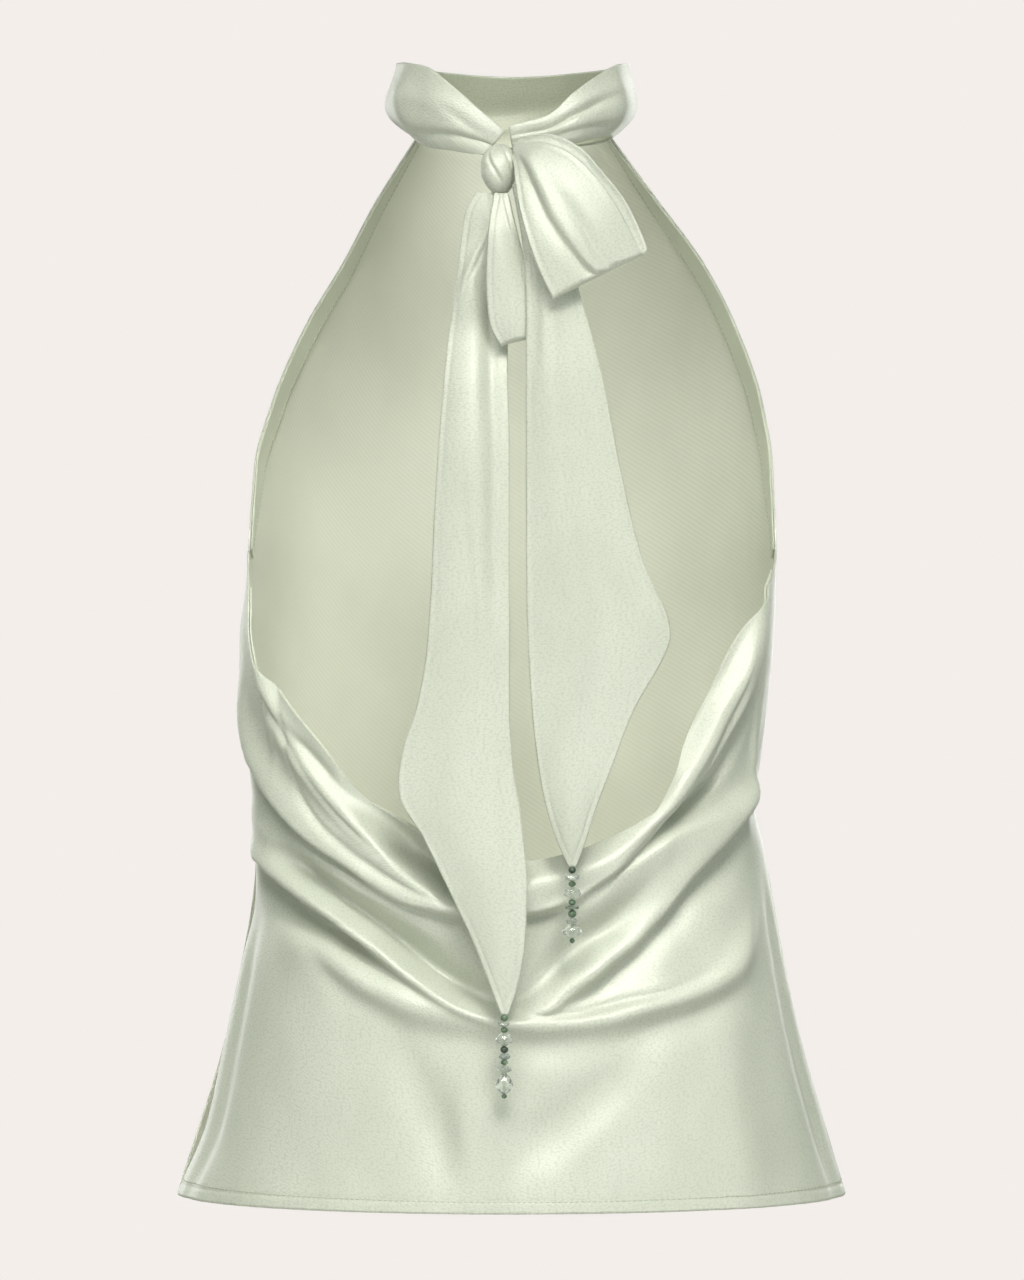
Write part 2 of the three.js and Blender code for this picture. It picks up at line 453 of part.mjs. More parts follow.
/** A closed solid through level rings, with a flat end at its top and foot. */
function ringSolid(rings, sides) {
  const vertices = rings.flatMap((ring) => Array.from({ length: sides }, (_, i) => {
    const angle = (2 * Math.PI * i) / sides;
    return new THREE.Vector3(ring.x + ring.halfWidth * Math.cos(angle),
      ring.y + ring.halfDepth * Math.sin(angle), ring.z);
  }));
  const triangles = [];
  for (let j = 0; j < rings.length - 1; j += 1) {
    for (let i = 0; i < sides; i += 1) {
      const next = (i + 1) % sides;
      const [a, b] = [j * sides + i, j * sides + next];
      triangles.push([a, b, b + sides], [a, b + sides, a + sides]);
    }
  }
  const foot = (rings.length - 1) * sides;
  for (let i = 1; i < sides - 1; i += 1) {
    triangles.push([0, i + 1, i], [foot, foot + i, foot + i + 1]);
  }
  return facingOut(vertices, triangles);
}

// The front

const front = columns(FRONT, 'down');

/** How far the front's falling folds push it out at a place. */
function frontFold(across, down) {
  let out = 0;
  for (const fold of FRONT_FOLDS) {
    const grown = smoothStep(fold.starts, fold.full, down);
    const ending = fold.full < NECK_FOLD_END ? 1 - smoothStep(fold.full, NECK_FOLD_END, down) : 1;
    out += fold.out * grown * ending * foldShape(across - fold.across, fold.width, fold.width);
  }
  return out * (1 - across ** 6);
}

/** A point of the front's middle: across from -1 at its right edge to 1, down from 0 to 1. */
function frontPoint(across, down) {
  const turn = front.turn(down) * DEGREE;
  const angle = across * turn;
  const half = across > 0 ? front.left(down) : front.right(down);
  const edgeY = front.edgeY(down);
  const depth = edgeY - front.middleY(down);
  const rise = front.edgeZ(down) - front.middleZ(down);
  const out = frontFold(across, down);
  const bow = (Math.cos(angle) - Math.cos(turn)) / (1 - Math.cos(turn));
  return new THREE.Vector3(
    (half * Math.sin(angle)) / Math.sin(turn) + out * Math.sin(angle),
    edgeY - SEAM_GAP / 2 - depth * bow - out * Math.cos(angle),
    front.middleZ(down) + rise * Math.abs(across) ** EDGE_SWEEP,
  );
}

// The back

const body = columns(BODY, 'z');
const swagLines = Object.entries(SWAG_PLACES).map(([name, across]) =>
  ({ across, z: smoothCurve(SWAGS.map((row) => row.down), SWAGS.map((row) => row[name])) }));
const crossFolds = CROSS_FOLDS.map((fold) => ({ ...fold, z: throughPairs(fold.line),
  from: fold.line[fold.line.length - 1][0], to: fold.line[0][0] }));
const fallingFolds = FALLING_FOLDS.map((fold) => ({ ...fold, across: throughPairs(fold.line),
  from: fold.line[fold.line.length - 1][0], to: fold.line[0][0] }));

/** How far the folds of the back push it out at a place across and a height. */
function backFold(across, z, half) {
  const slopeStep = 0.01;
  let out = 0;
  for (const fold of crossFolds) {
    const fade = smoothStep(fold.from - FOLD_END, fold.from + FOLD_END, across)
      * (1 - smoothStep(fold.to - FOLD_END, fold.to + FOLD_END, across));
    if (fade === 0) continue;
    const rise = fold.z(across + slopeStep) - fold.z(across - slopeStep);
    const slope = rise / (slopeStep * half * Math.PI);
    const away = (z - fold.z(across)) / Math.hypot(1, slope);
    out += fold.out * fade * foldShape(away, fold.above, fold.below);
  }
  for (const fold of fallingFolds) {
    const fade = smoothStep(fold.from - FALL_END, fold.from + FALL_END, z)
      * (1 - smoothStep(fold.to - FALL_END, fold.to + FALL_END, z));
    const away = (across - fold.across(z)) * half * Math.PI / 2;
    out += fold.out * fade * foldShape(away, fold.width, fold.width);
  }
  return out * (1 - smoothStep(1 - SEAM_EASE, 1, Math.abs(across)));
}

/** A point of the back's middle: across from -1 at its right seam to 1, down from 0 to 1. */
function backPoint(across, down) {
  const places = swagLines.map((line) => line.across).reverse();
  const heights = swagLines.map((line) => line.z(down)).reverse();
  const level = smoothCurve(places, heights)(across);
  const angle = (across * Math.PI) / 2;
  const half = across > 0 ? body.left(level) : body.right(level);
  const depth = body.back(level);
  const out = backFold(across, level, half);
  const outward = new THREE.Vector2(depth * Math.sin(angle), half * Math.cos(angle)).normalize();
  const edge = SIDE_SEAM_Y + SEAM_GAP / 2;
  return new THREE.Vector3(
    half * Math.sin(angle) + out * outward.x,
    edge + depth * Math.cos(angle) + out * outward.y,
    level - FOLD_LEAN * Math.max(out, 0) * smoothStep(CALM_TO, CALM_FROM, level),
  );
}

// The tie

const collar = columns(COLLAR, 'turn');
const leftWrap = columns(LEFT_WRAP, 'turn');
const rightWrap = columns(RIGHT_WRAP, 'turn');

/** A point of the standing tie: turn from -2 at the knot's right, round the front, to 2. */
function collarPoint(turn, up) {
  const foot = new THREE.Vector3();
  const top = new THREE.Vector3();
  let belly;
  if (Math.abs(turn) <= 1) {
    foot.copy(frontPoint(turn, 0));
    foot.z += NECK_SEAM_RISE;
    const flare = new THREE.Vector3(Math.sin(turn * 90 * DEGREE), -Math.cos(turn * 90 * DEGREE), 0);
    top.copy(foot).addScaledVector(flare, collar.flare(turn)).setZ(collar.topZ(turn));
    belly = collar.belly(turn);
  } else {
    const wrap = turn > 0 ? leftWrap : rightWrap;
    const place = Math.abs(turn);
    foot.set(wrap.footX(place), wrap.footY(place), wrap.footZ(place));
    top.set(wrap.topX(place), wrap.topY(place), wrap.topZ(place));
    belly = wrap.belly(place);
  }
  const outward = new THREE.Vector3(foot.x, foot.y, 0).normalize();
  const swell = Math.sin(Math.PI * (up + BELLY_DROP * up * (1 - up)));
  return foot.lerp(top, up).addScaledVector(outward, belly * swell);
}

/** A point of a hanging tail: side from 0 at its left edge to 1, down from 0 to 1. */
function tailPoint(rows, side, down) {
  const tail = columns(rows, 'z');
  const z = THREE.MathUtils.lerp(rows[0].z, rows[rows.length - 1].z, down);
  return new THREE.Vector3(THREE.MathUtils.lerp(tail.left(z), tail.right(z), side),
    tail.y(z) + tail.cup(z) * Math.sin(Math.PI * side), z);
}

/** A point of a loop of the bow: side from its lower edge to its upper one, along from 0 to 1. */
function loopPoint(rows, side, along) {
  const loop = columns(rows.map((row, i) => ({ ...row, step: i })), 'step');
  const step = along * (rows.length - 1);
  return new THREE.Vector3(
    THREE.MathUtils.lerp(loop.x(step), loop.upperX(step), side),
    THREE.MathUtils.lerp(loop.y(step), loop.upperY(step), side)
      + loop.cup(step) * Math.sin(Math.PI * side),
    THREE.MathUtils.lerp(loop.z(step), loop.upperZ(step), side),
  );
}

/** A drop of beads on its thread, one closed turned solid. */
function beadDrop(drop) {
  const profile = [new THREE.Vector2(0, 0), new THREE.Vector2(THREAD, 0)];
  let below = 0;
  for (const bead of drop.beads) {
    profile.push(new THREE.Vector2(bead.half, below - bead.size * BEAD_SHOULDER));
    profile.push(new THREE.Vector2(bead.half, below - bead.size * BEAD_WAIST));
    below -= bead.size;
    profile.push(new THREE.Vector2(THREAD, below));
  }
  profile.push(new THREE.Vector2(0, below));
  const geometry = new THREE.LatheGeometry(profile.reverse(), BEAD_SIDES);
  geometry.rotateX(Math.PI / 2);
  geometry.translate(drop.x, drop.y, drop.top);
  return geometry;
}

// Finishes and pieces

const satin = () => new THREE.MeshStandardMaterial({ color: 0xd0d6c2, roughness: 0.42, metalness: 0 });
const wrongSide = () =>
  new THREE.MeshStandardMaterial({ color: 0xc9cdb7, roughness: 0.8, metalness: 0 });
const crystal = () => new THREE.MeshStandardMaterial({ color: 0xb9c4b4, roughness: 0.1, metalness: 0 });

const group = new THREE.Group();

function addPiece(name, geometry, material) {
  const mesh = new THREE.Mesh(geometry, material);
  mesh.name = name;
  group.add(mesh);
}

// The front's outermost column is as wide as the armhole facing that lies on it
const FRONT_COLUMNS = 34;
const ARMHOLE_ROWS = 12;
const FRONT_ROWS = 20;
const ARMHOLE_END = FRONT.find((row) => row.edgeY === SIDE_SEAM_Y).down;

/** The share of a half of the front that the armhole facing covers. */
function facingShare(down) {
  const turn = front.turn(down) * DEGREE;
  const radius = (front.left(down) + front.right(down)) / 2 / Math.sin(turn);
  return ARMHOLE_FACING / (radius * turn);
}

/** Where a column of the front lies across, from -1 to 1. */
function frontAcross(column, down) {
  const inner = 1 - facingShare(down);
  if (column === 0) return -1;
  if (column === FRONT_COLUMNS) return 1;
  return -inner + (2 * inner * (column - 1)) / (FRONT_COLUMNS - 2);
}

/** Where a row of the front lies: the armhole has its own share of the rows. */
function frontDown(row) {
  if (row <= ARMHOLE_ROWS) return (ARMHOLE_END * row) / ARMHOLE_ROWS;
  return ARMHOLE_END + ((1 - ARMHOLE_END) * (row - ARMHOLE_ROWS)) / (FRONT_ROWS - ARMHOLE_ROWS);
}

/** A facing lies against the inside of the cloth, which both grids face. */
const insideLayer = [CLOTH / 2 + SEAM_GAP, CLOTH * 1.5 + SEAM_GAP];
const cowlFacingLayer = insideLayer.map((offset) => offset + COWL_FACING_EASE);

/** At a side seam a wall ends square to the seam's plane. */
const squareToSeam = (normal) => normal.setY(0);

const frontGrid = sheetGrid((i, j) => {
  const down = frontDown(j);
  return frontPoint(frontAcross(i, down), down);
}, FRONT_COLUMNS, FRONT_ROWS, (normal, i, j) =>
  (i % FRONT_COLUMNS === 0 && j >= ARMHOLE_ROWS ? squareToSeam(normal) : normal));
addPiece('front_panel', wallOn(frontGrid, -CLOTH / 2, CLOTH / 2,
  { columns: [0, FRONT_COLUMNS], rows: [0, FRONT_ROWS] }), satin());

for (const [name, outer] of [['left', FRONT_COLUMNS], ['right', 1]]) {
  addPiece(`armhole_facing_${name}`, wallOn(frontGrid, ...insideLayer,
    { columns: [outer - 1, outer], rows: [0, ARMHOLE_ROWS] }), wrongSide());
}

// The back's rows lie closer together in the cowl, and its first ones carry the facing
const BACK_COLUMNS = 58;
const BACK_ROWS = 36;
const COWL_ROWS = 26;
const COWL_END = 0.56;
const FACING_ROWS = 3;
const FACING_MARGIN = 3;

/** Where a column of the back lies across, from 1 to -1. */
const backAcross = (column) => 1 - (2 * column) / BACK_COLUMNS;

/** Where a row of the back lies down the panel. */
function backDown(row) {
  if (row <= COWL_ROWS) return (COWL_END * row) / COWL_ROWS;
  return COWL_END + ((1 - COWL_END) * (row - COWL_ROWS)) / (BACK_ROWS - COWL_ROWS);
}

const backGrid = sheetGrid((i, j) => backPoint(backAcross(i), backDown(j)), BACK_COLUMNS, BACK_ROWS,
  (normal, i) => (i % BACK_COLUMNS === 0 ? squareToSeam(normal) : normal));
addPiece('back_panel', wallOn(backGrid, -CLOTH / 2, CLOTH / 2,
  { columns: [0, BACK_COLUMNS], rows: [0, BACK_ROWS] }), satin());
addPiece('cowl_facing', wallOn(backGrid, ...cowlFacingLayer,
  { columns: [FACING_MARGIN, BACK_COLUMNS - FACING_MARGIN], rows: [0, FACING_ROWS] }), wrongSide());

addPiece('neck_tie', clothWall((s, t) => collarPoint(4 * t - 2, s), COLLAR_CLOTH, 4, 52), satin());
addPiece('bow_knot', ringSolid(KNOT, KNOT_SIDES), satin());
addPiece('bow_loop', clothWall((s, t) => loopPoint(BOW_LOOP, s, t), CLOTH, 5, 26), satin());
addPiece('bow_loop_middle', clothWall((s, t) => loopPoint(MIDDLE_LOOP, s, t), CLOTH, 4, 22), satin());
addPiece('tail_left', clothWall((s, t) => tailPoint(LEFT_TAIL, s, t), CLOTH, 5, 24), satin());
addPiece('tail_right', clothWall((s, t) => tailPoint(RIGHT_TAIL, s, t), CLOTH, 5, 22), satin());
addPiece('bead_drop_left', beadDrop(LEFT_DROP), crystal());
addPiece('bead_drop_right', beadDrop(RIGHT_DROP), crystal());

export default group;
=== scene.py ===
"""Dresses a backless halter neck top, with a cowl back and a tied bow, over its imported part.

Sizes in the tables are millimetres in the part's own frame: +Z up, +X to the wearer's left,
+Y to the wearer's back. Blender's objects are in metres.
"""

import logging
import math
from dataclasses import dataclass, field
from enum import Enum
from typing import Callable

import bpy
import numpy as np
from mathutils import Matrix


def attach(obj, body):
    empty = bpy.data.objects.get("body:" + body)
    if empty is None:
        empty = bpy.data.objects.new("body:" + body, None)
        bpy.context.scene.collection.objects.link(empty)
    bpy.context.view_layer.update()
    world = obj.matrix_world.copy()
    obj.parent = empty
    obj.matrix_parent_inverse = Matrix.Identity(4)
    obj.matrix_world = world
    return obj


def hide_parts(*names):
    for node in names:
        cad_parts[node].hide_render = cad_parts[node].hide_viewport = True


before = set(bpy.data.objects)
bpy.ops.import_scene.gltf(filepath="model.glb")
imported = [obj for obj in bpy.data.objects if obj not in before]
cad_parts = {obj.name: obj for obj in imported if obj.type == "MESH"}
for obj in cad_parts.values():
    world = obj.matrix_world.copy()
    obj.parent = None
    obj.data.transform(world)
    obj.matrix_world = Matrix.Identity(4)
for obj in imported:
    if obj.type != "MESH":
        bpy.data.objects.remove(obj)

Array = np.ndarray
Curve = Callable[[Array], Array]
Rows = tuple[tuple[float, ...], ...]
Pairs = tuple[tuple[float, float], ...]

MM = 0.001
# Cloth, seams and turned edges, in millimetres
CLOTH = 1.1
COLLAR_CLOTH = 1.8
FACING_CLOTH = 0.9
SEAM_GAP = 0.3
NECK_SEAM_RISE = 1.4
FRONT_SEAM_RISE = 0.75
SIDE_SEAM_Y = 2.0
ARMHOLE_FACING = 9.0
HEM_Z = -557.0
HEM_DEPTH = 6.0
HEM_LAYERS = 0.9
# Where the armhole ends, as a share of the way down the front
ARMHOLE_END = 0.46
# How folds lean, fade at their ends, and calm down towards the side seams and the hem
FOLD_LEAN = 0.22
FOLD_END = 0.1
FALL_END = 25.0
SEAM_EASE = 0.2
CALM_FROM = -470.0
CALM_TO = -500.0
NECK_FOLD_END = 0.36
# How the front's rows sweep up to its edges, and how low the tie's belly hangs
EDGE_SWEEP = 2.2
BELLY_DROP = 0.6
# Extra rows and columns close to the edges of cloth, as shares of the whole
EDGE_ROWS = (0.002, 0.005)
FACING_EDGES = (0.05, 0.12)
TIE_EDGES = (0.01, 0.02)
RIBBON_EDGES = (0.008, 0.016, 0.03)
# How calm the folds of a ribbon get towards its edges
RIBBON_CALM = 0.35
LOG = logging.getLogger("halter_top")


class Slot(Enum):
    """The record's material slots."""

    SATIN = "satin"
    FACING = "satin_facing"
    CRYSTAL = "crystal"


class Held(Enum):
    """How a sheet of cloth is held."""

    HUNG = "hung"
    DRAPED = "draped"
    FOLDED = "folded"
    STRETCHED = "stretched"


class BeadKind(Enum):
    """The kinds of beads on a drop."""

    GREEN = "green"
    DARK = "dark"
    CHIP = "chip"
    GREY_CHIP = "grey_chip"
    CRYSTAL = "crystal"
    TEARDROP = "teardrop"
    DISC = "disc"


# Round the body: z, half width left, half width right, depth of the back
BODY: Rows = (
    (-200, 139.0, 139.6, 84), (-232, 140.0, 139.2, 88), (-265, 143.6, 137.8, 90),
    (-296, 142.9, 134.8, 90), (-329, 138.9, 130.9, 89), (-350, 136.7, 127.4, 88),
    (-375, 135.0, 132.6, 89), (-400, 135.2, 136.9, 92), (-435, 142.6, 143.4, 97),
    (-477, 151.6, 152.6, 102), (-520, 161.1, 164.6, 107), (-557, 176.4, 175.8, 112),
)

# The front: share down, edge z, edge y, half width left and right, middle z and y, turn
FRONT: Rows = (
    (0.00, 0.0, 8, 50.5, 52.5, -1, -50, 90),
    (0.07, -32.0, -6, 72.0, 77.5, -58, -74, 78),
    (0.14, -64.0, -25, 90.5, 102.5, -104, -101, 68),
    (0.21, -95.0, -38, 110.0, 119.5, -146, -119, 64),
    (0.30, -138.0, -41, 129.0, 134.5, -192, -129, 64),
    (0.37, -172.0, -29, 137.6, 139.2, -226, -132, 70),
    (0.46, -217.0, 2, 139.2, 139.6, -268, -129, 90),
    (0.60, -300.0, 2, 142.5, 134.4, -336, -117, 90),
    (0.645, -329.0, 2, 138.9, 130.9, -361, -115, 90),
    (0.68, -350.0, 2, 136.7, 127.4, -380, -113, 90),
    (0.72, -375.0, 2, 135.0, 132.6, -400, -111, 90),
    (0.86, -465.0, 2, 149.0, 149.8, -478, -121, 90),
    (1.00, -557.0, 2, 176.4, 175.8, -557, -136, 90),
)

# Folds that fall down the front: across, where it starts and is full, out, half width
FRONT_FOLDS: Rows = (
    (-0.72, 0.42, 1.0, 4.5, 0.11), (-0.46, 0.50, 1.0, -4.0, 0.10),
    (-0.18, 0.46, 1.0, 5.0, 0.12), (0.12, 0.52, 1.0, -4.0, 0.10),
    (0.38, 0.48, 1.0, 4.5, 0.11), (0.68, 0.50, 1.0, -3.5, 0.10),
    (-0.30, 0.02, 0.12, 2.0, 0.08), (0.06, 0.02, 0.12, -1.5, 0.07),
    (0.34, 0.02, 0.12, 2.0, 0.08),
)

# Lines of the cowl: share down, then the height at each place across
SWAG_PLACES = (-1.0, -0.67, -0.5, -0.36, 0.0, 0.36, 0.5, 0.67, 1.0)
SWAGS: Rows = (
    (0.00, -218, -258, -304, -353, -379, -350, -319, -286, -218),
    (0.10, -232, -279, -319, -358, -397, -367, -338, -305, -234),
    (0.19, -252, -297, -335, -368, -408, -388, -363, -332, -262),
    (0.30, -292, -326, -358, -386, -430, -401, -382, -358, -312),
    (0.42, -336, -360, -387, -410, -448, -414, -400, -385, -365),
    (0.54, -400, -424, -438, -448, -462, -441, -430, -417, -402),
    (0.74, -470, -480, -485, -489, -495, -487, -483, -477, -470),
    (1.00, HEM_Z, HEM_Z, HEM_Z, HEM_Z, HEM_Z, HEM_Z, HEM_Z, HEM_Z, HEM_Z),
)


@dataclass(frozen=True)
class Fold:
    """A fold in cloth: how far it stands out and how it spreads to each side of its line.

    The line is pairs of a place along the fold and where the fold lies there.
    """

    out: float
    above: float
    below: float
    line: Pairs

    def push(self, away: Array) -> Array:
        """How far the fold stands out at a distance from its line, in millimetres."""
        return self.out * fold_shape(away, self.above, self.below)


# The back's folds across: places across, and heights
CROSS_FOLDS: tuple[Fold, ...] = (
    Fold(7.0, 6, 9, ((0.8, -250), (0.72, -273), (0.67, -299), (0.6, -319), (0.5, -339),
        (0.4, -356), (0.28, -377), (0.2, -390), (0.13, -397), (0.05, -396), (-0.04, -388),
        (-0.12, -383), (-0.22, -376), (-0.3, -366), (-0.38, -354), (-0.45, -335),
        (-0.51, -318), (-0.57, -299), (-0.64, -282), (-0.69, -268), (-0.75, -252))),
    Fold(7.5, 13, 2.8, ((1, -282), (0.89, -304), (0.82, -323), (0.72, -342), (0.62, -357),
        (0.53, -368), (0.42, -379), (0.33, -390), (0.25, -397), (0.17, -400), (0.1, -402),
        (-0.03, -402), (-0.12, -397), (-0.22, -383), (-0.3, -372), (-0.36, -363),
        (-0.41, -355), (-0.45, -345), (-0.52, -332), (-0.58, -317), (-0.64, -301),
        (-0.7, -283), (-0.75, -266))),
    Fold(-4.5, 4, 6, ((0.7, -296), (0.62, -312), (0.51, -331), (0.42, -349))),
    Fold(-14.0, 13, 3.5, ((0.37, -357), (0.29, -371), (0.2, -384), (0.13, -392), (0.05, -391))),
    Fold(-7.5, 3, 10, ((1, -297), (0.95, -324), (0.77, -348), (0.62, -364))),
    Fold(5.0, 8, 12, ((1, -351), (0.67, -368), (0.53, -381), (0.42, -392), (0.27, -404),
        (0.15, -411), (0.08, -413))),
    Fold(-12.0, 9, 4, ((0.66, -380), (0.56, -389), (0.45, -401), (0.35, -412), (0.27, -423),
        (0.17, -438), (0.07, -449), (0.01, -452))),
    Fold(7.0, 7, 3.5, ((0.91, -370), (0.71, -385), (0.6, -394), (0.48, -405), (0.41, -414),
        (0.33, -424), (0.26, -433), (0.16, -446), (0.07, -455))),
    Fold(-11.0, 4, 8, ((1, -379), (0.81, -391), (0.69, -400), (0.59, -408), (0.47, -416),
        (0.4, -422), (0.34, -428))),
    Fold(4.0, 9, 16, ((0.64, -416), (0.56, -419), (0.48, -425))),
    Fold(6.0, 7, 10, ((0.49, -422), (0.41, -432), (0.31, -444), (0.21, -452), (0.05, -458),
        (-0.06, -461), (-0.2, -460), (-0.32, -453), (-0.47, -444), (-0.6, -430), (-0.69, -414))),
    Fold(-2.0, 6, 8, ((0.5, -430), (0.44, -440), (0.36, -449), (0.29, -454))),
    Fold(-6.0, 5, 3, ((-0.32, -371), (-0.38, -363), (-0.46, -354), (-0.54, -347),
        (-0.61, -339), (-0.67, -326))),
    Fold(7.0, 5, 14, ((-0.11, -402), (-0.18, -396), (-0.24, -388), (-0.33, -377),
        (-0.42, -367), (-0.53, -359), (-0.65, -353), (-0.76, -347), (-0.85, -336))),
    Fold(6.0, 12, 4, ((-0.04, -456), (-0.08, -452), (-0.14, -444), (-0.2, -435), (-0.25, -427),
        (-0.3, -419), (-0.35, -410), (-0.4, -399), (-0.47, -386), (-0.53, -377), (-0.61, -366),
        (-0.7, -355), (-0.78, -345), (-0.81, -332))),
    Fold(-6.5, 4, 12, ((-0.15, -446), (-0.2, -440), (-0.25, -432), (-0.31, -423),
        (-0.35, -415), (-0.41, -405), (-0.48, -392), (-0.55, -382), (-0.64, -370),
        (-0.74, -356))),
    Fold(-7.0, 9, 9, ((-0.02, -447), (-0.06, -441), (-0.11, -431), (-0.16, -422),
        (-0.23, -414), (-0.3, -405))),
    Fold(-2.2, 2.4, 2.2, ((0, -456), (-0.06, -457), (-0.13, -457), (-0.2, -454), (-0.27, -450),
        (-0.35, -447), (-0.44, -441), (-0.52, -435))),
    Fold(-4.5, 9, 12, ((-0.02, -472), (-0.1, -471), (-0.24, -466), (-0.34, -462),
        (-0.45, -457), (-0.58, -446))),
    Fold(-5.5, 13, 15, ((-0.01, -525), (-0.07, -518), (-0.16, -500), (-0.28, -481))),
)

# Fine creases that run along the larger folds of the back
FINE_FOLDS: tuple[Fold, ...] = (
    Fold(-1.8, 2.4, 2.0, ((-0.22, -389), (-0.36, -363), (-0.47, -346), (-0.56, -318),
        (-0.65, -289))),
    Fold(-1.2, 1.6, 1.8, ((-0.33, -363), (-0.43, -348), (-0.54, -319), (-0.63, -291),
        (-0.7, -265))),
    Fold(-1.6, 2.0, 2.4, ((0.66, -283), (0.58, -345), (0.41, -373), (0.24, -391), (0.15, -397))),
    Fold(-1.3, 1.6, 1.8, ((0.7, -273), (0.67, -301), (0.59, -323), (0.46, -352), (0.33, -373))),
    Fold(-1.4, 2.0, 2.2, ((0.8, -333), (0.63, -360), (0.42, -383), (0.28, -397))),
)

# The back's folds down to the hem: heights, and places across
FALLING_FOLDS: tuple[Fold, ...] = (
    Fold(-4.0, 13, 13, ((-470, 0.25), (-500, 0.19), (-540, 0.11))),
    Fold(3.5, 10, 10, ((-480, 0.085), (-515, 0.09), (-548, 0.085))),
    Fold(3.0, 20, 20, ((-410, -0.62), (-470, -0.52), (-552, -0.5))),
    Fold(-3.5, 12, 12, ((-420, 0.86), (-480, 0.84), (-552, 0.83))),
    Fold(-3.5, 12, 12, ((-400, -0.88), (-480, -0.85), (-552, -0.84))),
)

# The standing tie past its sides: turn, foot x y z, top x y z, belly
LEFT_WRAP: Rows = (
    (1.00, 50.5, 8, 1.4, 60.5, 8, 39, 12), (1.30, 50.5, 34, -2, 56, 32, 37, 10),
    (1.55, 42, 50, -8, 44, 49, 33, 5), (1.75, 30, 58.5, -10.5, 30, 58.5, 21.5, 4),
    (1.90, 21, 63, -12.5, 17, 63.5, 9.5, 2), (2.00, 15, 66.6, -13.5, 4.5, 67.2, -1.5, 0.3),
)
RIGHT_WRAP: Rows = (
    (1.00, -52.5, 8, 1.4, -61, 8, 39, 9.5), (1.30, -51, 34, 0, -55, 32, 36, 8.5),
    (1.55, -41, 50, -3.5, -42, 49, 27, 5), (1.75, -31, 58, -6.5, -31, 58, 18, 4),
    (1.90, -17, 62.5, -9, -19, 62.5, 7, 2), (2.00, -1, 67, -10.5, 1, 66.5, 1, 0.5),
)
# Round the front: turn, top z, belly, flare
COLLAR: Rows = (
    (-1.0, 39, 9.5, 8.5), (-0.5, 39, 4, 5.0), (0.0, 38, 2, 4.5), (0.5, 39, 4, 5.0),
    (1.0, 39, 12, 10),
)
# Soft folds along the standing tie, by turn and share of its height
COLLAR_FOLDS: tuple[Fold, ...] = (
    Fold(-2.4, 1.4, 4.0, ((1.45, 0.16), (1.6, 0.20), (1.75, 0.27), (1.9, 0.34), (2.0, 0.40))),
    Fold(1.6, 8.0, 6.0, ((1.2, 0.60), (1.5, 0.62), (1.8, 0.66), (2.0, 0.66))),
    Fold(-1.4, 4.0, 3.0, ((1.72, 0.60), (1.85, 0.56), (2.0, 0.52))),
    Fold(-2.2, 4.0, 1.6, ((-2.0, 0.62), (-1.85, 0.58), (-1.65, 0.54), (-1.5, 0.56))),
    Fold(1.8, 4.0, 3.0, ((-2.0, 0.80), (-1.8, 0.76), (-1.5, 0.72), (-1.3, 0.70))),
    Fold(-2.0, 2.0, 4.0, ((-2.0, 0.30), (-1.8, 0.26), (-1.6, 0.22), (-1.4, 0.16))),
    Fold(1.2, 6.0, 6.0, ((-1.0, 0.55), (-0.5, 0.6), (0.2, 0.5), (0.7, 0.45))),
    Fold(-1.0, 4.0, 5.0, ((-0.8, 0.3), (-0.2, 0.28), (0.6, 0.25))),
)

# The knot: z, x, y, half width, half depth
KNOT: Rows = (
    (-8.2, 6.2, 69.0, 2.2, 1.6), (-10.2, 6.4, 70.6, 5.4, 4.2), (-14.0, 6.6, 72.2, 8.0, 6.2),
    (-19.0, 6.8, 73.4, 9.3, 7.4), (-24.0, 6.8, 74.2, 9.2, 7.6), (-28.0, 6.6, 74.6, 8.0, 6.8),
    (-31.5, 6.3, 74.8, 6.0, 5.2), (-34.0, 6.2, 74.8, 3.8, 3.2),
)

# The tails: z, edge on the wearer's left, edge on the right, y, cup
LEFT_TAIL: Rows = (
    (-34.4, 18, 10, 74.5, 1), (-45, 23.5, 8.5, 75.5, 2), (-58, 25.5, 8, 76.5, 2),
    (-75, 27.5, 8, 78, 2), (-100, 31, 4, 80.5, 2), (-116, 33, 3, 84.5, 2.5),
    (-135, 34.8, 2.8, 89.5, 3.5), (-165, 37, 2, 95, 4), (-205, 39.3, 2, 99, 4),
    (-245, 41, 2, 101.5, 4), (-275, 43.5, 2, 103.5, 4), (-301, 48.5, 2, 105.5, 4),
    (-321, 55, 1, 107, 4), (-336, 57.3, -0.5, 108, 4), (-343, 57, -2, 108.5, 4),
    (-366, 44.5, -5, 110.5, 3.5), (-388, 33.7, -7, 112.5, 3), (-418, 19.5, -6, 114.5, 2.5),
    (-440, 10.8, -2.3, 117, 1.5), (-455, 5.2, 2.4, 119, 0),
)
RIGHT_TAIL: Rows = (
    (-30, -0.7, -6.5, 76, 0.5), (-38, -2.4, -10.5, 79, 1), (-47, -4, -16, 82, 1.5),
    (-60, -6, -24, 85.5, 2), (-75, -7.4, -30.5, 89, 2.5), (-92, -8, -35.5, 92, 3),
    (-127, -8, -45, 96, 3.5), (-178, -8, -55, 100, 4), (-222, -8, -65.5, 102, 4.5),
    (-240, -8.2, -73, 103, 4.5), (-256, -8.5, -79.6, 104, 4.5), (-263, -8.8, -80.4, 104.3, 4.5),
    (-272, -9.2, -77.5, 104.8, 4.5), (-301, -11, -61.5, 106.5, 4), (-328, -14, -51, 108, 3.5),
    (-350, -18, -42.5, 109.5, 3), (-366, -23, -37.4, 110.5, 2), (-380, -29.4, -32.2, 111.5, 0),
)
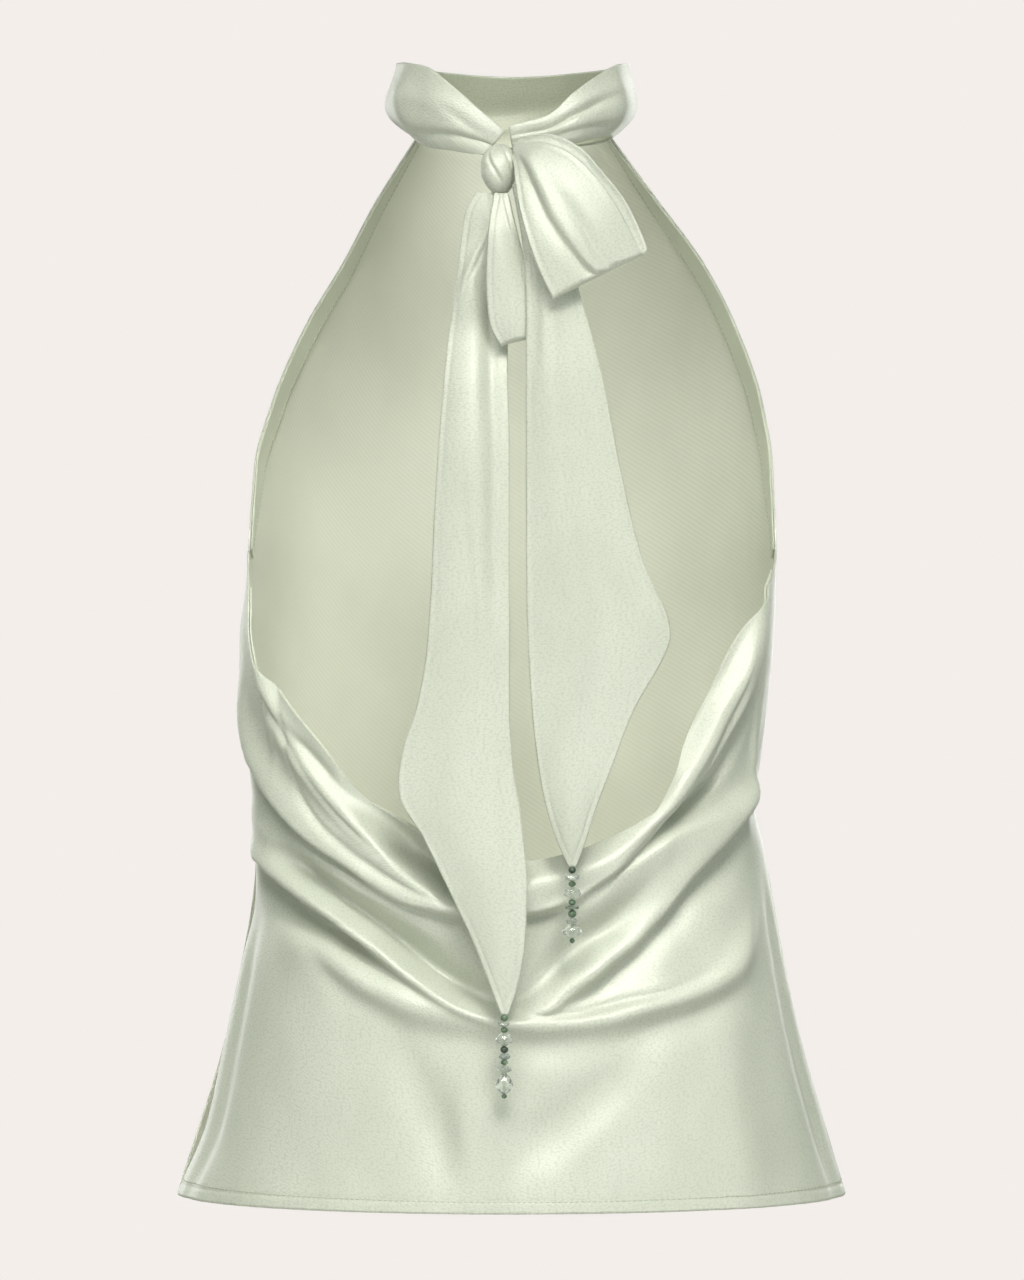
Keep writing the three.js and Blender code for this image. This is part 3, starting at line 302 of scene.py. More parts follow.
# Soft lengthwise folds of the tails, by height and share across from the wearer's left
LEFT_TAIL_FOLDS: tuple[Fold, ...] = (
    Fold(1.2, 14, 14, ((-455, 0.5), (-343, 0.42), (-240, 0.30), (-120, 0.34), (-60, 0.45))),
    Fold(-1.5, 2.5, 9, ((-330, 0.62), (-265, 0.58), (-228, 0.48), (-185, 0.36))),
    Fold(-3.0, 7, 5, ((-250, 0.84), (-170, 0.80), (-110, 0.72), (-60, 0.62))),
    Fold(1.2, 3.2, 3, ((-330, 0.94), (-200, 0.94), (-110, 0.9), (-50, 0.86))),
    Fold(3.2, 13.0, 3.2, ((-96, 0.04), (-83, 0.14), (-67, 0.45), (-54, 0.8), (-42, 0.98))),
    Fold(-1.1, 1.6, 1.0, ((-90, 0.14), (-83, 0.22), (-67, 0.53), (-54, 0.88))),
    Fold(-1.2, 2.0, 3.0, ((-388, 0.86), (-360, 0.84), (-335, 0.86))),
)
RIGHT_TAIL_FOLDS: tuple[Fold, ...] = (
    Fold(1.6, 14, 12, ((-380, 0.5), (-300, 0.4), (-200, 0.3), (-100, 0.3), (-50, 0.4))),
    Fold(-3.2, 11, 9, ((-330, 0.66), (-260, 0.56), (-170, 0.6), (-90, 0.66))),
    Fold(1.0, 7, 7, ((-262, 0.86), (-200, 0.84), (-130, 0.84), (-80, 0.84))),
    Fold(-1.2, 2.2, 2.6, ((-130, 0.10), (-80, 0.2), (-45, 0.4))),
)

# The loops: lower edge x z y, upper edge x z y, cup
BOW_LOOP: Rows = (
    (-0.7, -15, 75.5, -1.2, -8.5, 76.5, 0.5), (-1.8, -24, 85, -14, -9, 83, 1.5),
    (-3.5, -38, 92, -27.5, -14, 88.5, 2.5), (-8.2, -58, 99, -42.5, -27.5, 93, 3),
    (-14.2, -75, 102.5, -54.5, -45, 95.5, 3), (-20.2, -87.5, 103.5, -65, -65, 95.5, 2),
    (-21.2, -90, 102, -67.5, -66.5, 94, 0.5), (-21, -88, 100.3, -68.6, -64, 92.2, -1),
    (-16, -73, 97, -58.8, -41, 87.5, -1.5), (-10.5, -58, 92.5, -47.2, -25.5, 84, -1.5),
    (-6, -38, 86.5, -34, -11, 80, -1), (-3.6, -23, 79.5, -18, -4.2, 75.5, -0.5),
    (-2.2, -14, 73.5, -4, -5.5, 71.5, -0.2),
)
MIDDLE_LOOP: Rows = (
    (8.6, -34.9, 78.6, 2.6, -34.9, 79, 0.5), (11.5, -55, 87.5, -2, -55, 85.5, 1.2),
    (12.6, -80, 90.5, -8.5, -80, 87.5, 1.5), (10.8, -102, 92.3, -12.5, -100, 89.5, 1.5),
    (6.4, -111.5, 92.3, -13.6, -107, 89.7, 1), (5, -113.2, 91.2, -14, -108.4, 88.6, 0.3),
    (5.6, -111.5, 90, -13.6, -107, 87.4, -0.4), (8.8, -100, 88.2, -11.5, -99, 85.5, -0.8),
    (9.2, -80, 86, -7.5, -80, 83.5, -0.8), (8, -56, 81.5, -1, -56, 80, -0.6),
    (7, -34.6, 75.6, 3, -34.6, 75.8, -0.2),
)
# Creases of the loops, by share along and share across from the lower edge
BOW_LOOP_FOLDS: tuple[Fold, ...] = (
    Fold(-2.0, 1.2, 5.0, ((0.03, 0.38), (0.12, 0.32), (0.22, 0.30), (0.34, 0.38), (0.44, 0.53))),
    Fold(1.8, 5.0, 1.6, ((0.05, 0.46), (0.14, 0.40), (0.24, 0.38), (0.34, 0.44), (0.46, 0.57))),
    Fold(-1.4, 5.0, 1.2, ((0.26, 0.56), (0.36, 0.59), (0.47, 0.64))),
    Fold(1.4, 9.0, 9.0, ((0.06, 0.72), (0.25, 0.70), (0.42, 0.80))),
)
MIDDLE_LOOP_FOLDS: tuple[Fold, ...] = (
    Fold(-1.2, 1.4, 5.0, ((0.02, 0.5), (0.08, 0.62), (0.16, 0.8))),
    Fold(0.9, 8.0, 8.0, ((0.1, 0.4), (0.25, 0.4), (0.42, 0.4))),
)


def smooth_curve(places: Array, values: Array) -> Curve:
    """Make a smooth curve that never overshoots the values given at its places.

    Args:
        places: rising places.
        values: the value at each place.

    Returns:
        A function that reads the curve at an array of places.
    """
    x, y = np.asarray(places, float), np.asarray(values, float)
    rise = np.diff(y) / np.diff(x)
    slope = np.empty_like(y)
    slope[0], slope[-1] = rise[0], rise[-1]
    product, total = rise[:-1] * rise[1:], rise[:-1] + rise[1:]
    slope[1:-1] = np.where(product > 0, 2 * product / np.where(total == 0, 1, total), 0)

    def read(place: Array) -> Array:
        """Read the curve.

        Args:
            place: the places to read it at, held within its ends.

        Returns:
            The value at each of them.
        """
        at = np.clip(place, x[0], x[-1])
        i = np.clip(np.searchsorted(x, at, side="right") - 1, 0, len(x) - 2)
        width = x[i + 1] - x[i]
        t = (at - x[i]) / width
        early = y[i] * (1 + 2 * t) + slope[i] * width * t
        late = y[i + 1] * (3 - 2 * t) - slope[i + 1] * width * (1 - t)
        return early * (1 - t) ** 2 + late * t ** 2

    return read


def table_curves(rows: Rows) -> list[Curve]:
    """One smooth curve for each column of a table after its first, read at the first.

    Args:
        rows: the table, whose first column rises or falls.

    Returns:
        The curves, in the order of the columns.
    """
    table = np.array(sorted(rows))
    return [smooth_curve(table[:, 0], table[:, i]) for i in range(1, table.shape[1])]


def through_pairs(pairs: Pairs) -> Curve:
    """Make a curve through pairs of a place and a value, straight past its ends.

    Args:
        pairs: the places and values.

    Returns:
        A function that reads the curve at an array of places.
    """
    x, y = np.array(sorted(pairs), float).T
    curve = smooth_curve(x, y)
    early, late = (y[1] - y[0]) / (x[1] - x[0]), (y[-1] - y[-2]) / (x[-1] - x[-2])

    def read(place: Array) -> Array:
        """Read the curve."""
        before, after = np.minimum(place - x[0], 0), np.maximum(place - x[-1], 0)
        return curve(place) + early * before + late * after

    return read


def smooth_step(start: float, end: float, place: Array) -> Array:
    """Rise smoothly from 0 at start to 1 at end."""
    t = np.clip((place - start) / (end - start), 0, 1)
    return t * t * (3 - 2 * t)


def fold_shape(away: Array, above: float, below: float) -> Array:
    """The height of a fold at a distance from its line."""
    return np.exp(-(away / np.where(away > 0, above, below)) ** 2)


def fading(pairs: Pairs, place: Array, reach: float) -> Array:
    """Fade a fold out at both ends of its line.

    Args:
        pairs: the fold's line.
        place: places along it.
        reach: how far to each side of an end the fading goes.

    Returns:
        1 within the line, and 0 beyond its ends.
    """
    ends = [pair[0] for pair in pairs]
    start, end = min(ends), max(ends)
    grown = smooth_step(start - reach, start + reach, place)
    return grown * (1 - smooth_step(end - reach, end + reach, place))


def ribbon_relief(folds: tuple[Fold, ...], along: Array, side: Array, width: Array,
                  reach: float) -> Array:
    """How far the folds along a ribbon push it out.

    Args:
        folds: the folds, each a line of places along and shares across.
        along: places along the ribbon.
        side: shares across it.
        width: the ribbon's width there, in millimetres.
        reach: over how long a stretch a fold fades at its ends.

    Returns:
        The push at each point, in millimetres.
    """
    out = np.zeros_like(side * along)
    for fold in folds:
        away = (side - through_pairs(fold.line)(along)) * width
        out += fold.push(away) * fading(fold.line, along, reach)
    return out


def spaced(count: int, edges: tuple[float, ...] = ()) -> Array:
    """Shares from 0 to 1, evenly spaced with more of them close to both ends.

    Args:
        count: the number of even steps.
        edges: extra shares near 0, repeated near 1.

    Returns:
        The rising shares.
    """
    extra = np.array(edges, float)
    return np.unique(np.concatenate([np.linspace(0, 1, count + 1), extra, 1 - extra]).round(6))


@dataclass
class Sheet:
    """A sheet of cloth as a grid of points in millimetres, with the walls' offsets on it.

    The face is the side that towards points at in the first rows. Offsets are measured from
    the middle, above zero towards the face. The edges that are rounded are given in the order
    top, foot, first column, last column.
    """

    middle: Array
    towards: Array
    high: Array | float = CLOTH / 2
    low: Array | float = -CLOTH / 2
    square_ends: Array | None = None
    rounded: tuple[bool, bool, bool, bool] = (True, True, True, True)
    normal: Array = field(init=False)
    flat: Array = field(init=False)

    def __post_init__(self) -> None:
        """Work out the direction of the face and the flat coordinates of the cloth."""
        down = np.gradient(self.middle, axis=0)
        across = np.gradient(self.middle, axis=1)
        normal = np.cross(across, down)
        if np.sum(normal[:4] * self.towards[:4]) < 0:
            normal = -normal
        if self.square_ends is not None:
            for column in (0, -1):
                normal[self.square_ends, column, 1] = 0
        self.normal = normal / np.linalg.norm(normal, axis=2, keepdims=True).clip(1e-9)
        self.flat = np.stack([self.arc(1), self.arc(0)], axis=2)

    def arc(self, axis: int) -> Array:
        """The length along the cloth from its middle row or column.

        Args:
            axis: 0 for the length down the sheet, 1 for the length across it.

        Returns:
            The length at each point.
        """
        steps = np.linalg.norm(np.diff(self.middle, axis=axis), axis=2)
        pad = [(1, 0), (0, 0)] if axis == 0 else [(0, 0), (1, 0)]
        length = np.cumsum(np.pad(steps, pad), axis=axis)
        centre = np.take(length, [length.shape[axis] // 2], axis=axis)
        return length - centre

    def layer(self, offset: Array | float) -> Array:
        """The points at an offset from the middle."""
        return self.middle + self.normal * np.broadcast_to(offset, self.normal.shape[:2])[..., None]

    def outward(self) -> Array:
        """The direction out of the sheet along its rounded edges.

        Returns:
            The direction at each point of the grid, zero inside and along other edges.
        """
        out = np.zeros_like(self.middle)
        edges = (np.s_[0], np.s_[-1], np.s_[:, 0], np.s_[:, -1])
        inner = (np.s_[1], np.s_[-2], np.s_[:, 1], np.s_[:, -2])
        for edge, beside, rounded in zip(edges, inner, self.rounded):
            if rounded:
                out[edge] += self.middle[edge] - self.middle[beside]
        return out / np.linalg.norm(out, axis=2, keepdims=True).clip(1e-9)

    def border(self) -> Array:
        """The border of the grid.

        Returns:
            The indices of its points in order, as one closed ring.
        """
        rows, columns = self.middle.shape[:2]
        index = np.arange(rows * columns).reshape(rows, columns)
        return np.concatenate([index[0, :-1], index[:-1, -1], index[-1, :0:-1], index[:0:-1, 0]])


RIM_STEPS = 3


def make_object(name: str, points: Array, faces: list[tuple[int, ...]],
                materials: list[bpy.types.Material], smooth: bool = True) -> bpy.types.Object:
    """Make a mesh object from points in millimetres.

    Args:
        name: the piece's name.
        points: the vertices.
        faces: the faces, as indices of vertices.
        materials: the materials of its slots.
        smooth: whether its faces are shaded as one round surface.

    Returns:
        The object, linked to the scene.
    """
    mesh = bpy.data.meshes.new(name)
    mesh.from_pydata((points * MM).tolist(), [], faces)
    mesh.polygons.foreach_set("use_smooth", np.full(len(faces), smooth))
    for material in materials:
        mesh.materials.append(material)
    made = bpy.data.objects.new(name, mesh)
    bpy.context.scene.collection.objects.link(made)
    return made


def cloth_object(name: str, sheet: Sheet, face: bpy.types.Material,
                 wrong: bpy.types.Material) -> bpy.types.Object:
    """Make a thin closed shell of cloth with a rounded border.

    Args:
        name: the piece's name.
        sheet: the grid and its offsets.
        face: the material of the face and the border.
        wrong: the material of the wrong side.

    Returns:
        The object.
    """
    rows, columns = sheet.middle.shape[:2]
    size = rows * columns
    high = np.broadcast_to(sheet.high, (rows, columns)).reshape(-1)
    low = np.broadcast_to(sheet.low, (rows, columns)).reshape(-1)
    ring = sheet.border()
    centre, half = (high + low)[ring] / 2, (high - low)[ring] / 2
    normal, middle = sheet.normal.reshape(-1, 3)[ring], sheet.middle.reshape(-1, 3)[ring]
    outward = sheet.outward().reshape(-1, 3)[ring]
    bands = []
    for step in range(1, RIM_STEPS):
        turn = math.pi * step / RIM_STEPS
        lift = (centre + half * math.cos(turn))[:, None]
        bands.append(middle + normal * lift + outward * (half * math.sin(turn))[:, None])
    points = np.concatenate([sheet.layer(sheet.high).reshape(-1, 3),
                             sheet.layer(sheet.low).reshape(-1, 3), *bands])
    index = np.arange(size).reshape(rows, columns)
    quads = np.stack([index[:-1, :-1], index[:-1, 1:], index[1:, 1:], index[1:, :-1]], -1)
    quads = quads.reshape(-1, 4)
    a, b, d = points[quads[0, 0]], points[quads[0, 1]], points[quads[0, 3]]
    flip = np.dot(np.cross(b - a, d - a), sheet.normal[0, 0]) < 0
    face_quads = quads[:, ::-1] if flip else quads
    wrong_quads = (quads if flip else quads[:, ::-1]) + size
    order = np.arange(len(ring))
    between = [2 * size + k * len(ring) + order for k in range(RIM_STEPS - 1)]
    levels = [ring, *between, ring + size]
    rim = []
    for near, far in zip(levels, levels[1:]):
        strip = np.stack([near, far, np.roll(far, -1), np.roll(near, -1)], -1)
        rim.append(strip[:, ::-1] if flip else strip)
    faces = np.concatenate([face_quads, wrong_quads, *rim])
    made = make_object(name, points, faces.tolist(), [face, wrong])
    kinds = np.zeros(len(faces), np.int32)
    kinds[len(face_quads):len(face_quads) + len(wrong_quads)] = 1
    made.data.polygons.foreach_set("material_index", kinds)
    flat = sheet.flat.reshape(-1, 2)
    add_weave(made, np.concatenate([flat, flat, *[flat[ring]] * (RIM_STEPS - 1)]))
    return made


def add_weave(made: bpy.types.Object, flat: Array) -> None:
    """Keep each vertex's place on the flat cloth as the map "weave".

    Args:
        made: the piece of cloth.
        flat: the flat place of each of its vertices, in millimetres.
    """
    loops = np.zeros(len(made.data.loops), np.int32)
    made.data.loops.foreach_get("vertex_index", loops)
    layer = made.data.uv_layers.new(name="weave")
    layer.data.foreach_set("uv", flat[loops].astype(np.float32).reshape(-1))


def fill(node: bpy.types.Node, **values: float | tuple[float, ...]) -> None:
    """Set sockets of a node, with _ for each space in a socket's name."""
    for name, value in values.items():
        node.inputs[name.replace("_", " ")].default_value = value


class Nodes:
    """A small hand for making a material's nodes."""

    def __init__(self, name: str) -> None:
        """Start a material with its own shader.

        Args:
            name: the material's name.
        """
        self.material = bpy.data.materials.new(name)
        self.material.use_nodes = True
        self.tree = self.material.node_tree
        self.shader = self.tree.nodes["Principled BSDF"]

    def node(self, kind: str, **settings: object) -> bpy.types.Node:
        """Add a node and set its properties.

        Args:
            kind: the node's type.
            settings: properties of the node.

        Returns:
            The node.
        """
        made = self.tree.nodes.new(kind)
        for name, value in settings.items():
            setattr(made, name, value)
        return made

    def link(self, source: bpy.types.NodeSocket, target: bpy.types.NodeSocket) -> None:
        """Join two sockets."""
        self.tree.links.new(source, target)

    def weave(self, repeat: tuple[float, float], turn: float = 0.0) -> bpy.types.NodeSocket:
        """The place on the flat cloth, counted in repeats of the weave.

        Args:
            repeat: millimetres of one repeat across and down.
            turn: how far the repeats are turned, in degrees.

        Returns:
            The socket that gives it.
        """
        place = self.node("ShaderNodeUVMap", uv_map="weave")
        turned = self.node("ShaderNodeMapping", vector_type="POINT")
        fill(turned, Rotation=(0, 0, math.radians(turn)))
        sized = self.node("ShaderNodeVectorMath", operation="MULTIPLY")
        sized.inputs[1].default_value = (1 / repeat[0], 1 / repeat[1], 0)
        self.link(place.outputs["UV"], turned.inputs["Vector"])
        self.link(turned.outputs["Vector"], sized.inputs[0])
        return sized.outputs["Vector"]

    def noise(self, place: bpy.types.NodeSocket, detail: float = 2.0,
              dimensions: str = "2D") -> bpy.types.NodeSocket:
        """Soft cloudy noise.

        Args:
            place: the place it is read at, with one cloud for each unit.
            detail: how many finer layers it has.
            dimensions: whether it varies over a surface or through space.

        Returns:
            The noise, which lies about 0.5.
        """
        made = self.node("ShaderNodeTexNoise", noise_dimensions=dimensions)
        fill(made, Scale=1.0, Detail=detail)
        self.link(place, made.inputs["Vector"])
        return made.outputs["Fac"]

    def depth(self, grain: float) -> bpy.types.NodeSocket:
        """The place in the piece's own space, counted in grains.

        Args:
            grain: the size of one grain, in millimetres.

        Returns:
            The socket that gives it.
        """
        place = self.node("ShaderNodeTexCoord")
        sized = self.node("ShaderNodeVectorMath", operation="SCALE")
        fill(sized, Scale=1 / (grain * MM))
        self.link(place.outputs["Object"], sized.inputs[0])
        return sized.outputs["Vector"]

    def ranged(self, source: bpy.types.NodeSocket, start: float, end: float, low: float,
               high: float) -> bpy.types.NodeSocket:
        """Map a number from one range to another.

        Args:
            source: the number.
            start: where the range it comes from starts.
            end: where that ends.
            low: what the start becomes.
            high: what the end becomes.

        Returns:
            The mapped number.
        """
        made = self.node("ShaderNodeMapRange")
        fill(made, From_Min=start, From_Max=end, To_Min=low, To_Max=high)
        self.link(source, made.inputs["Value"])
        return made.outputs["Result"]

    def blend(self, share: bpy.types.NodeSocket, one: tuple[float, ...] | bpy.types.NodeSocket,
              other: tuple[float, ...]) -> bpy.types.NodeSocket:
        """Mix two colours by a share that varies over the surface.

        Args:
            share: 0 for the first colour, 1 for the second.
            one: the first colour or its socket.
            other: the second colour.

        Returns:
            The mixed colour.
        """
        made = self.node("ShaderNodeMix", data_type="RGBA")
        self.link(share, made.inputs[0])
        if isinstance(one, tuple):
            made.inputs[6].default_value = one
        else:
            self.link(one, made.inputs[6])
        made.inputs[7].default_value = other
        return made.outputs[2]

    def bump(self, height: bpy.types.NodeSocket, distance: float, strength: float,
             under: bpy.types.NodeSocket | None = None) -> bpy.types.NodeSocket:
        """Relief from a height of 0 to 1.

        Args:
            height: the height.
            distance: how deep the relief is, in millimetres.
            strength: how much of it shows.
            under: the relief it lies on.

        Returns:
            The normal.
        """
        made = self.node("ShaderNodeBump")
        fill(made, Distance=distance * MM, Strength=strength)
        self.link(height, made.inputs["Height"])
        if under is not None:
            self.link(under, made.inputs["Normal"])
        return made.outputs["Normal"]

    def dress(self, **sources: bpy.types.NodeSocket) -> None:
        """Link sockets to the shader, with _ for each space in a socket's name."""
        for name, source in sources.items():
            self.link(source, self.shader.inputs[name.replace("_", " ")])


# Noise lies about 0.5: the stretch of it that is spread from the light tone to the deep one
CLOUDS = (0.35, 0.65)


def colour(red: int, green: int, blue: int) -> tuple[float, float, float, float]:
    """A display colour as the linear one that nodes take."""
    linear = [((c / 255 + 0.055) / 1.055) ** 2.4 for c in (red, green, blue)]
    return (*linear, 1.0)


@dataclass(frozen=True)
class HammeredSatin:
    """The face of the satin: soft gloss over a fine hammered grain. Sizes are millimetres."""

    name: str = "hammered_satin"
    light: tuple[int, int, int] = (208, 211, 196)
    deep: tuple[int, int, int] = (172, 180, 160)
    roughness: float = 0.43
    metallic: float = 0.08
    grain: tuple[float, float] = (1.7, 1.0)
    grain_turn: float = 4.0
    grain_depth: float = 0.09
    grain_tone: float = 0.45
    cloud: tuple[float, float] = (46.0, 70.0)
    cloud_tone: float = 0.25
    ripple: tuple[float, float] = (9.0, 14.0)
    ripple_depth: float = 0.3

    def make(self) -> bpy.types.Material:
        """Build the material.

        Returns:
            The material.
        """
        nodes = Nodes(self.name)
        light, deep = colour(*self.light), colour(*self.deep)
        fill(nodes.shader, Metallic=self.metallic, Sheen_Weight=0.12, Sheen_Roughness=0.4,
             Anisotropic=0.3, Specular_IOR_Level=0.5)
        cell = nodes.node("ShaderNodeTexVoronoi", voronoi_dimensions="2D", feature="SMOOTH_F1")
        fill(cell, Scale=1.0, Smoothness=0.5, Randomness=0.85)
        nodes.link(nodes.weave(self.grain, self.grain_turn), cell.inputs["Vector"])
        pebble = nodes.ranged(cell.outputs["Distance"], 0.15, 0.75, 1.0, 0.0)
        cloud = nodes.noise(nodes.weave(self.cloud), 3.0)
        tone = nodes.blend(nodes.ranged(cloud, *CLOUDS, 0.0, self.cloud_tone), light, deep)
        shade = nodes.ranged(pebble, 0.0, 1.0, self.grain_tone, 0.0)
        gloss = nodes.ranged(pebble, 0, 1, self.roughness + 0.06, self.roughness - 0.03)
        under = nodes.bump(nodes.noise(nodes.weave(self.ripple), 1.0), self.ripple_depth, 0.12)
        nodes.dress(Base_Color=nodes.blend(shade, tone, deep), Roughness=gloss,
                    Normal=nodes.bump(pebble, self.grain_depth, 0.6, under))
        return nodes.material


@dataclass(frozen=True)
class SatinWrongSide:
    """The wrong side of the satin: matt, with fine diagonal lines. Sizes are millimetres."""

    name: str = "satin_wrong_side"
    light: tuple[int, int, int] = (229, 231, 215)
    deep: tuple[int, int, int] = (212, 215, 197)
    roughness: float = 0.72
    line: float = 2.3
    slant: float = 34.0
    line_depth: float = 0.08
    cloud: tuple[float, float] = (60.0, 80.0)
    tone: float = 0.35

    def make(self) -> bpy.types.Material:
        """Build the material.

        Returns:
            The material.
        """
        nodes = Nodes(self.name)
        light, deep = colour(*self.light), colour(*self.deep)
        fill(nodes.shader, Metallic=0.0, Sheen_Weight=0.2, Sheen_Roughness=0.5,
             Specular_IOR_Level=0.35)
        twill = nodes.node("ShaderNodeTexWave", wave_type="BANDS", bands_direction="Y")
        # At this scale the texture has one band for each repeat of the weave
        fill(twill, Scale=math.pi / 10, Distortion=0.6, Detail=1.0, Detail_Scale=0.6)
        nodes.link(nodes.weave((self.line, self.line), self.slant), twill.inputs["Vector"])
        lines = twill.outputs["Fac"]
        cloud = nodes.noise(nodes.weave(self.cloud), 2.0)
        tone = nodes.blend(nodes.ranged(cloud, *CLOUDS, 0.0, self.tone), light, deep)
        shade = nodes.ranged(lines, 0, 1, self.tone, 0.0)
        gloss = nodes.ranged(lines, 0, 1, self.roughness + 0.06, self.roughness - 0.04)
        nodes.dress(Base_Color=nodes.blend(shade, tone, deep), Roughness=gloss,
                    Normal=nodes.bump(lines, self.line_depth, 0.5))
        return nodes.material


@dataclass(frozen=True)
class SewingThread:
    """Twisted thread in the cloth's colour. Sizes are millimetres."""

    name: str = "sewing_thread"
    light: tuple[int, int, int] = (196, 202, 178)
    deep: tuple[int, int, int] = (160, 168, 144)
    fibre: float = 0.625
    fibre_depth: float = 0.05

    def make(self) -> bpy.types.Material:
        """Build the material.

        Returns:
            The material.
        """
        nodes = Nodes(self.name)
        fill(nodes.shader, Sheen_Weight=0.3, Specular_IOR_Level=0.4)
        fibre = nodes.noise(nodes.depth(self.fibre), 2.0, "3D")
        nodes.dress(Base_Color=nodes.blend(fibre, colour(*self.light), colour(*self.deep)),
                    Roughness=nodes.ranged(fibre, 0, 1, 0.5, 0.8),
                    Normal=nodes.bump(fibre, self.fibre_depth, 0.4))
        return nodes.material


@dataclass(frozen=True)
class BeadFinish:
    """Glass or stone of the beads. Sizes are millimetres."""

    name: str
    light: tuple[int, int, int]
    deep: tuple[int, int, int]
    through: float
    roughness: float
    vein: float = 2.0
    vein_depth: float = 0.1

    def make(self) -> bpy.types.Material:
        """Build the material.

        Returns:
            The material.
        """
        nodes = Nodes(self.name)
        fill(nodes.shader, Transmission_Weight=self.through, IOR=1.5, Specular_IOR_Level=0.6)
        veins = nodes.noise(nodes.depth(self.vein), 3.0, "3D")
        share = nodes.ranged(veins, *CLOUDS, 0.0, 1.0)
        nodes.dress(Base_Color=nodes.blend(share, colour(*self.light), colour(*self.deep)),
                    Roughness=nodes.ranged(veins, 0.3, 0.7, self.roughness, self.roughness + 0.08),
                    Normal=nodes.bump(veins, self.vein_depth, 0.15))
        return nodes.material


class Finishes:
    """Every finish of the top, made once."""

    def __init__(self) -> None:
        """Make the materials."""
        self.satin = HammeredSatin().make()
        # A darker copy of the satin for the tie's inner side: painted shade inside the standing
        # collar
        self.inner = HammeredSatin("shaded_inner_satin", (186, 190, 167), (160, 167, 145)).make()
        self.wrong = SatinWrongSide().make()
        self.facing = SatinWrongSide("facing_satin", (212, 216, 196), (196, 201, 179),
                                     roughness=0.6, line=1.8, slant=-30.0).make()
        self.thread = SewingThread().make()
        clear = (246, 248, 244)
        beads = {
            BeadKind.GREEN: BeadFinish("green_bead", (118, 142, 112), (78, 102, 78), 0.0, 0.12),
            BeadKind.DARK: BeadFinish("dark_bead", (74, 92, 76), (48, 62, 52), 0.0, 0.12),
            BeadKind.CHIP: BeadFinish("clear_chip", (236, 240, 234), (206, 216, 206), 0.75, 0.08),
            BeadKind.GREY_CHIP: BeadFinish("grey_chip", (196, 204, 196), (132, 144, 134), 0.35,
                                           0.14),
            BeadKind.CRYSTAL: BeadFinish("clear_crystal", clear, (232, 238, 232), 0.9, 0.03),
            BeadKind.TEARDROP: BeadFinish("drop_crystal", clear, (230, 237, 230), 0.9, 0.03),
            BeadKind.DISC: BeadFinish("stone_disc", (150, 166, 148), (110, 126, 110), 0.2, 0.16),
        }
        self.beads = {kind: finish.make() for kind, finish in beads.items()}


@dataclass
class ClothPiece:
    """A piece of cloth that stands for a node of the part.

    Each kind of piece gives its own sheet. The cut is its flat width and length, in metres.
    """

    name: str
    node: str
    cut: tuple[float, float]
    cut_area: float | None
    rests_on: tuple[str, ...]
    held: Held = Held.HUNG
    slot: Slot = Slot.SATIN

    def sheet(self) -> Sheet:
        """The piece's grid, which each kind of piece gives."""
        raise NotImplementedError

    def build(self, finishes: Finishes) -> None:
        """Make the piece and set it in the frame.

        Args:
            finishes: the finishes of the top.
        """
        sheet = self.sheet()
        face, wrong = self.sides(finishes)
        made = cloth_object(self.name, sheet, face, wrong)
        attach(made, "root")
        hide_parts(self.node)
        trims = self.trim(sheet, finishes)
        for trim in trims:
            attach(trim, "root")
        LOG.info("%s: %d faces, %d trims", self.name, len(made.data.polygons), len(trims))

    def sides(self, finishes: Finishes) -> tuple[bpy.types.Material, bpy.types.Material]:
        """The materials of the face and the wrong side."""
        return finishes.satin, finishes.wrong

    def trim(self, sheet: Sheet, finishes: Finishes) -> list[bpy.types.Object]:
        """Make the stitches and other small parts on the piece.

        Args:
            sheet: the piece's grid.
            finishes: the finishes of the top.

        Returns:
            The small parts.
        """
        return []


STITCH_SIDES = 6
STITCH_PROFILE = ((-0.5, 0.15), (-0.34, 0.85), (0.0, 1.0), (0.34, 0.85), (0.5, 0.15))


def stitch_row(name: str, line: Array, normal: Array, material: bpy.types.Material,
               pitch: float = 3.0, length: float = 2.2, half: float = 0.28) -> bpy.types.Object:
    """A row of short stitches that lie on a line of the cloth.

    Args:
        name: the piece's name.
        line: points of the line, in millimetres.
        normal: the direction out of the cloth at each of them.
        material: the thread.
        pitch: the distance from one stitch to the next.
        length: the length of a stitch.
        half: half the thickness of the thread.

    Returns:
        The stitches as one object.
    """
    run = np.concatenate([[0], np.cumsum(np.linalg.norm(np.diff(line, axis=0), axis=1))])
    places = np.arange(pitch, run[-1] - pitch, pitch)

    def read(rows: Array, at: Array) -> Array:
        """Read the rows at distances along the line."""
        return np.stack([np.interp(at, run, rows[:, i]) for i in range(3)], -1)

    centre, out = read(line, places), read(normal, places)
    along = read(line, places + 0.5) - read(line, places - 0.5)
    along /= np.linalg.norm(along, axis=1, keepdims=True)
    side = np.cross(along, out)
    points, faces = [], []
    rings = len(STITCH_PROFILE)
    for i in range(len(places)):
        base = len(points)
        for place, size in STITCH_PROFILE:
            for k in range(STITCH_SIDES):
                turn = 2 * math.pi * k / STITCH_SIDES
                points.append(centre[i] + along[i] * place * length
                              + (side[i] * math.cos(turn) + out[i] * math.sin(turn)) * size * half)
        for j in range(rings - 1):
            for k in range(STITCH_SIDES):
                ring = base + j * STITCH_SIDES
                a, b = ring + k, ring + (k + 1) % STITCH_SIDES
                faces.append((a, b, b + STITCH_SIDES, a + STITCH_SIDES))
        faces.append(tuple(range(base + STITCH_SIDES - 1, base - 1, -1)))
        end = base + (rings - 1) * STITCH_SIDES
        faces.append(tuple(range(end, end + STITCH_SIDES)))
    return make_object(name, np.array(points), faces, [material])


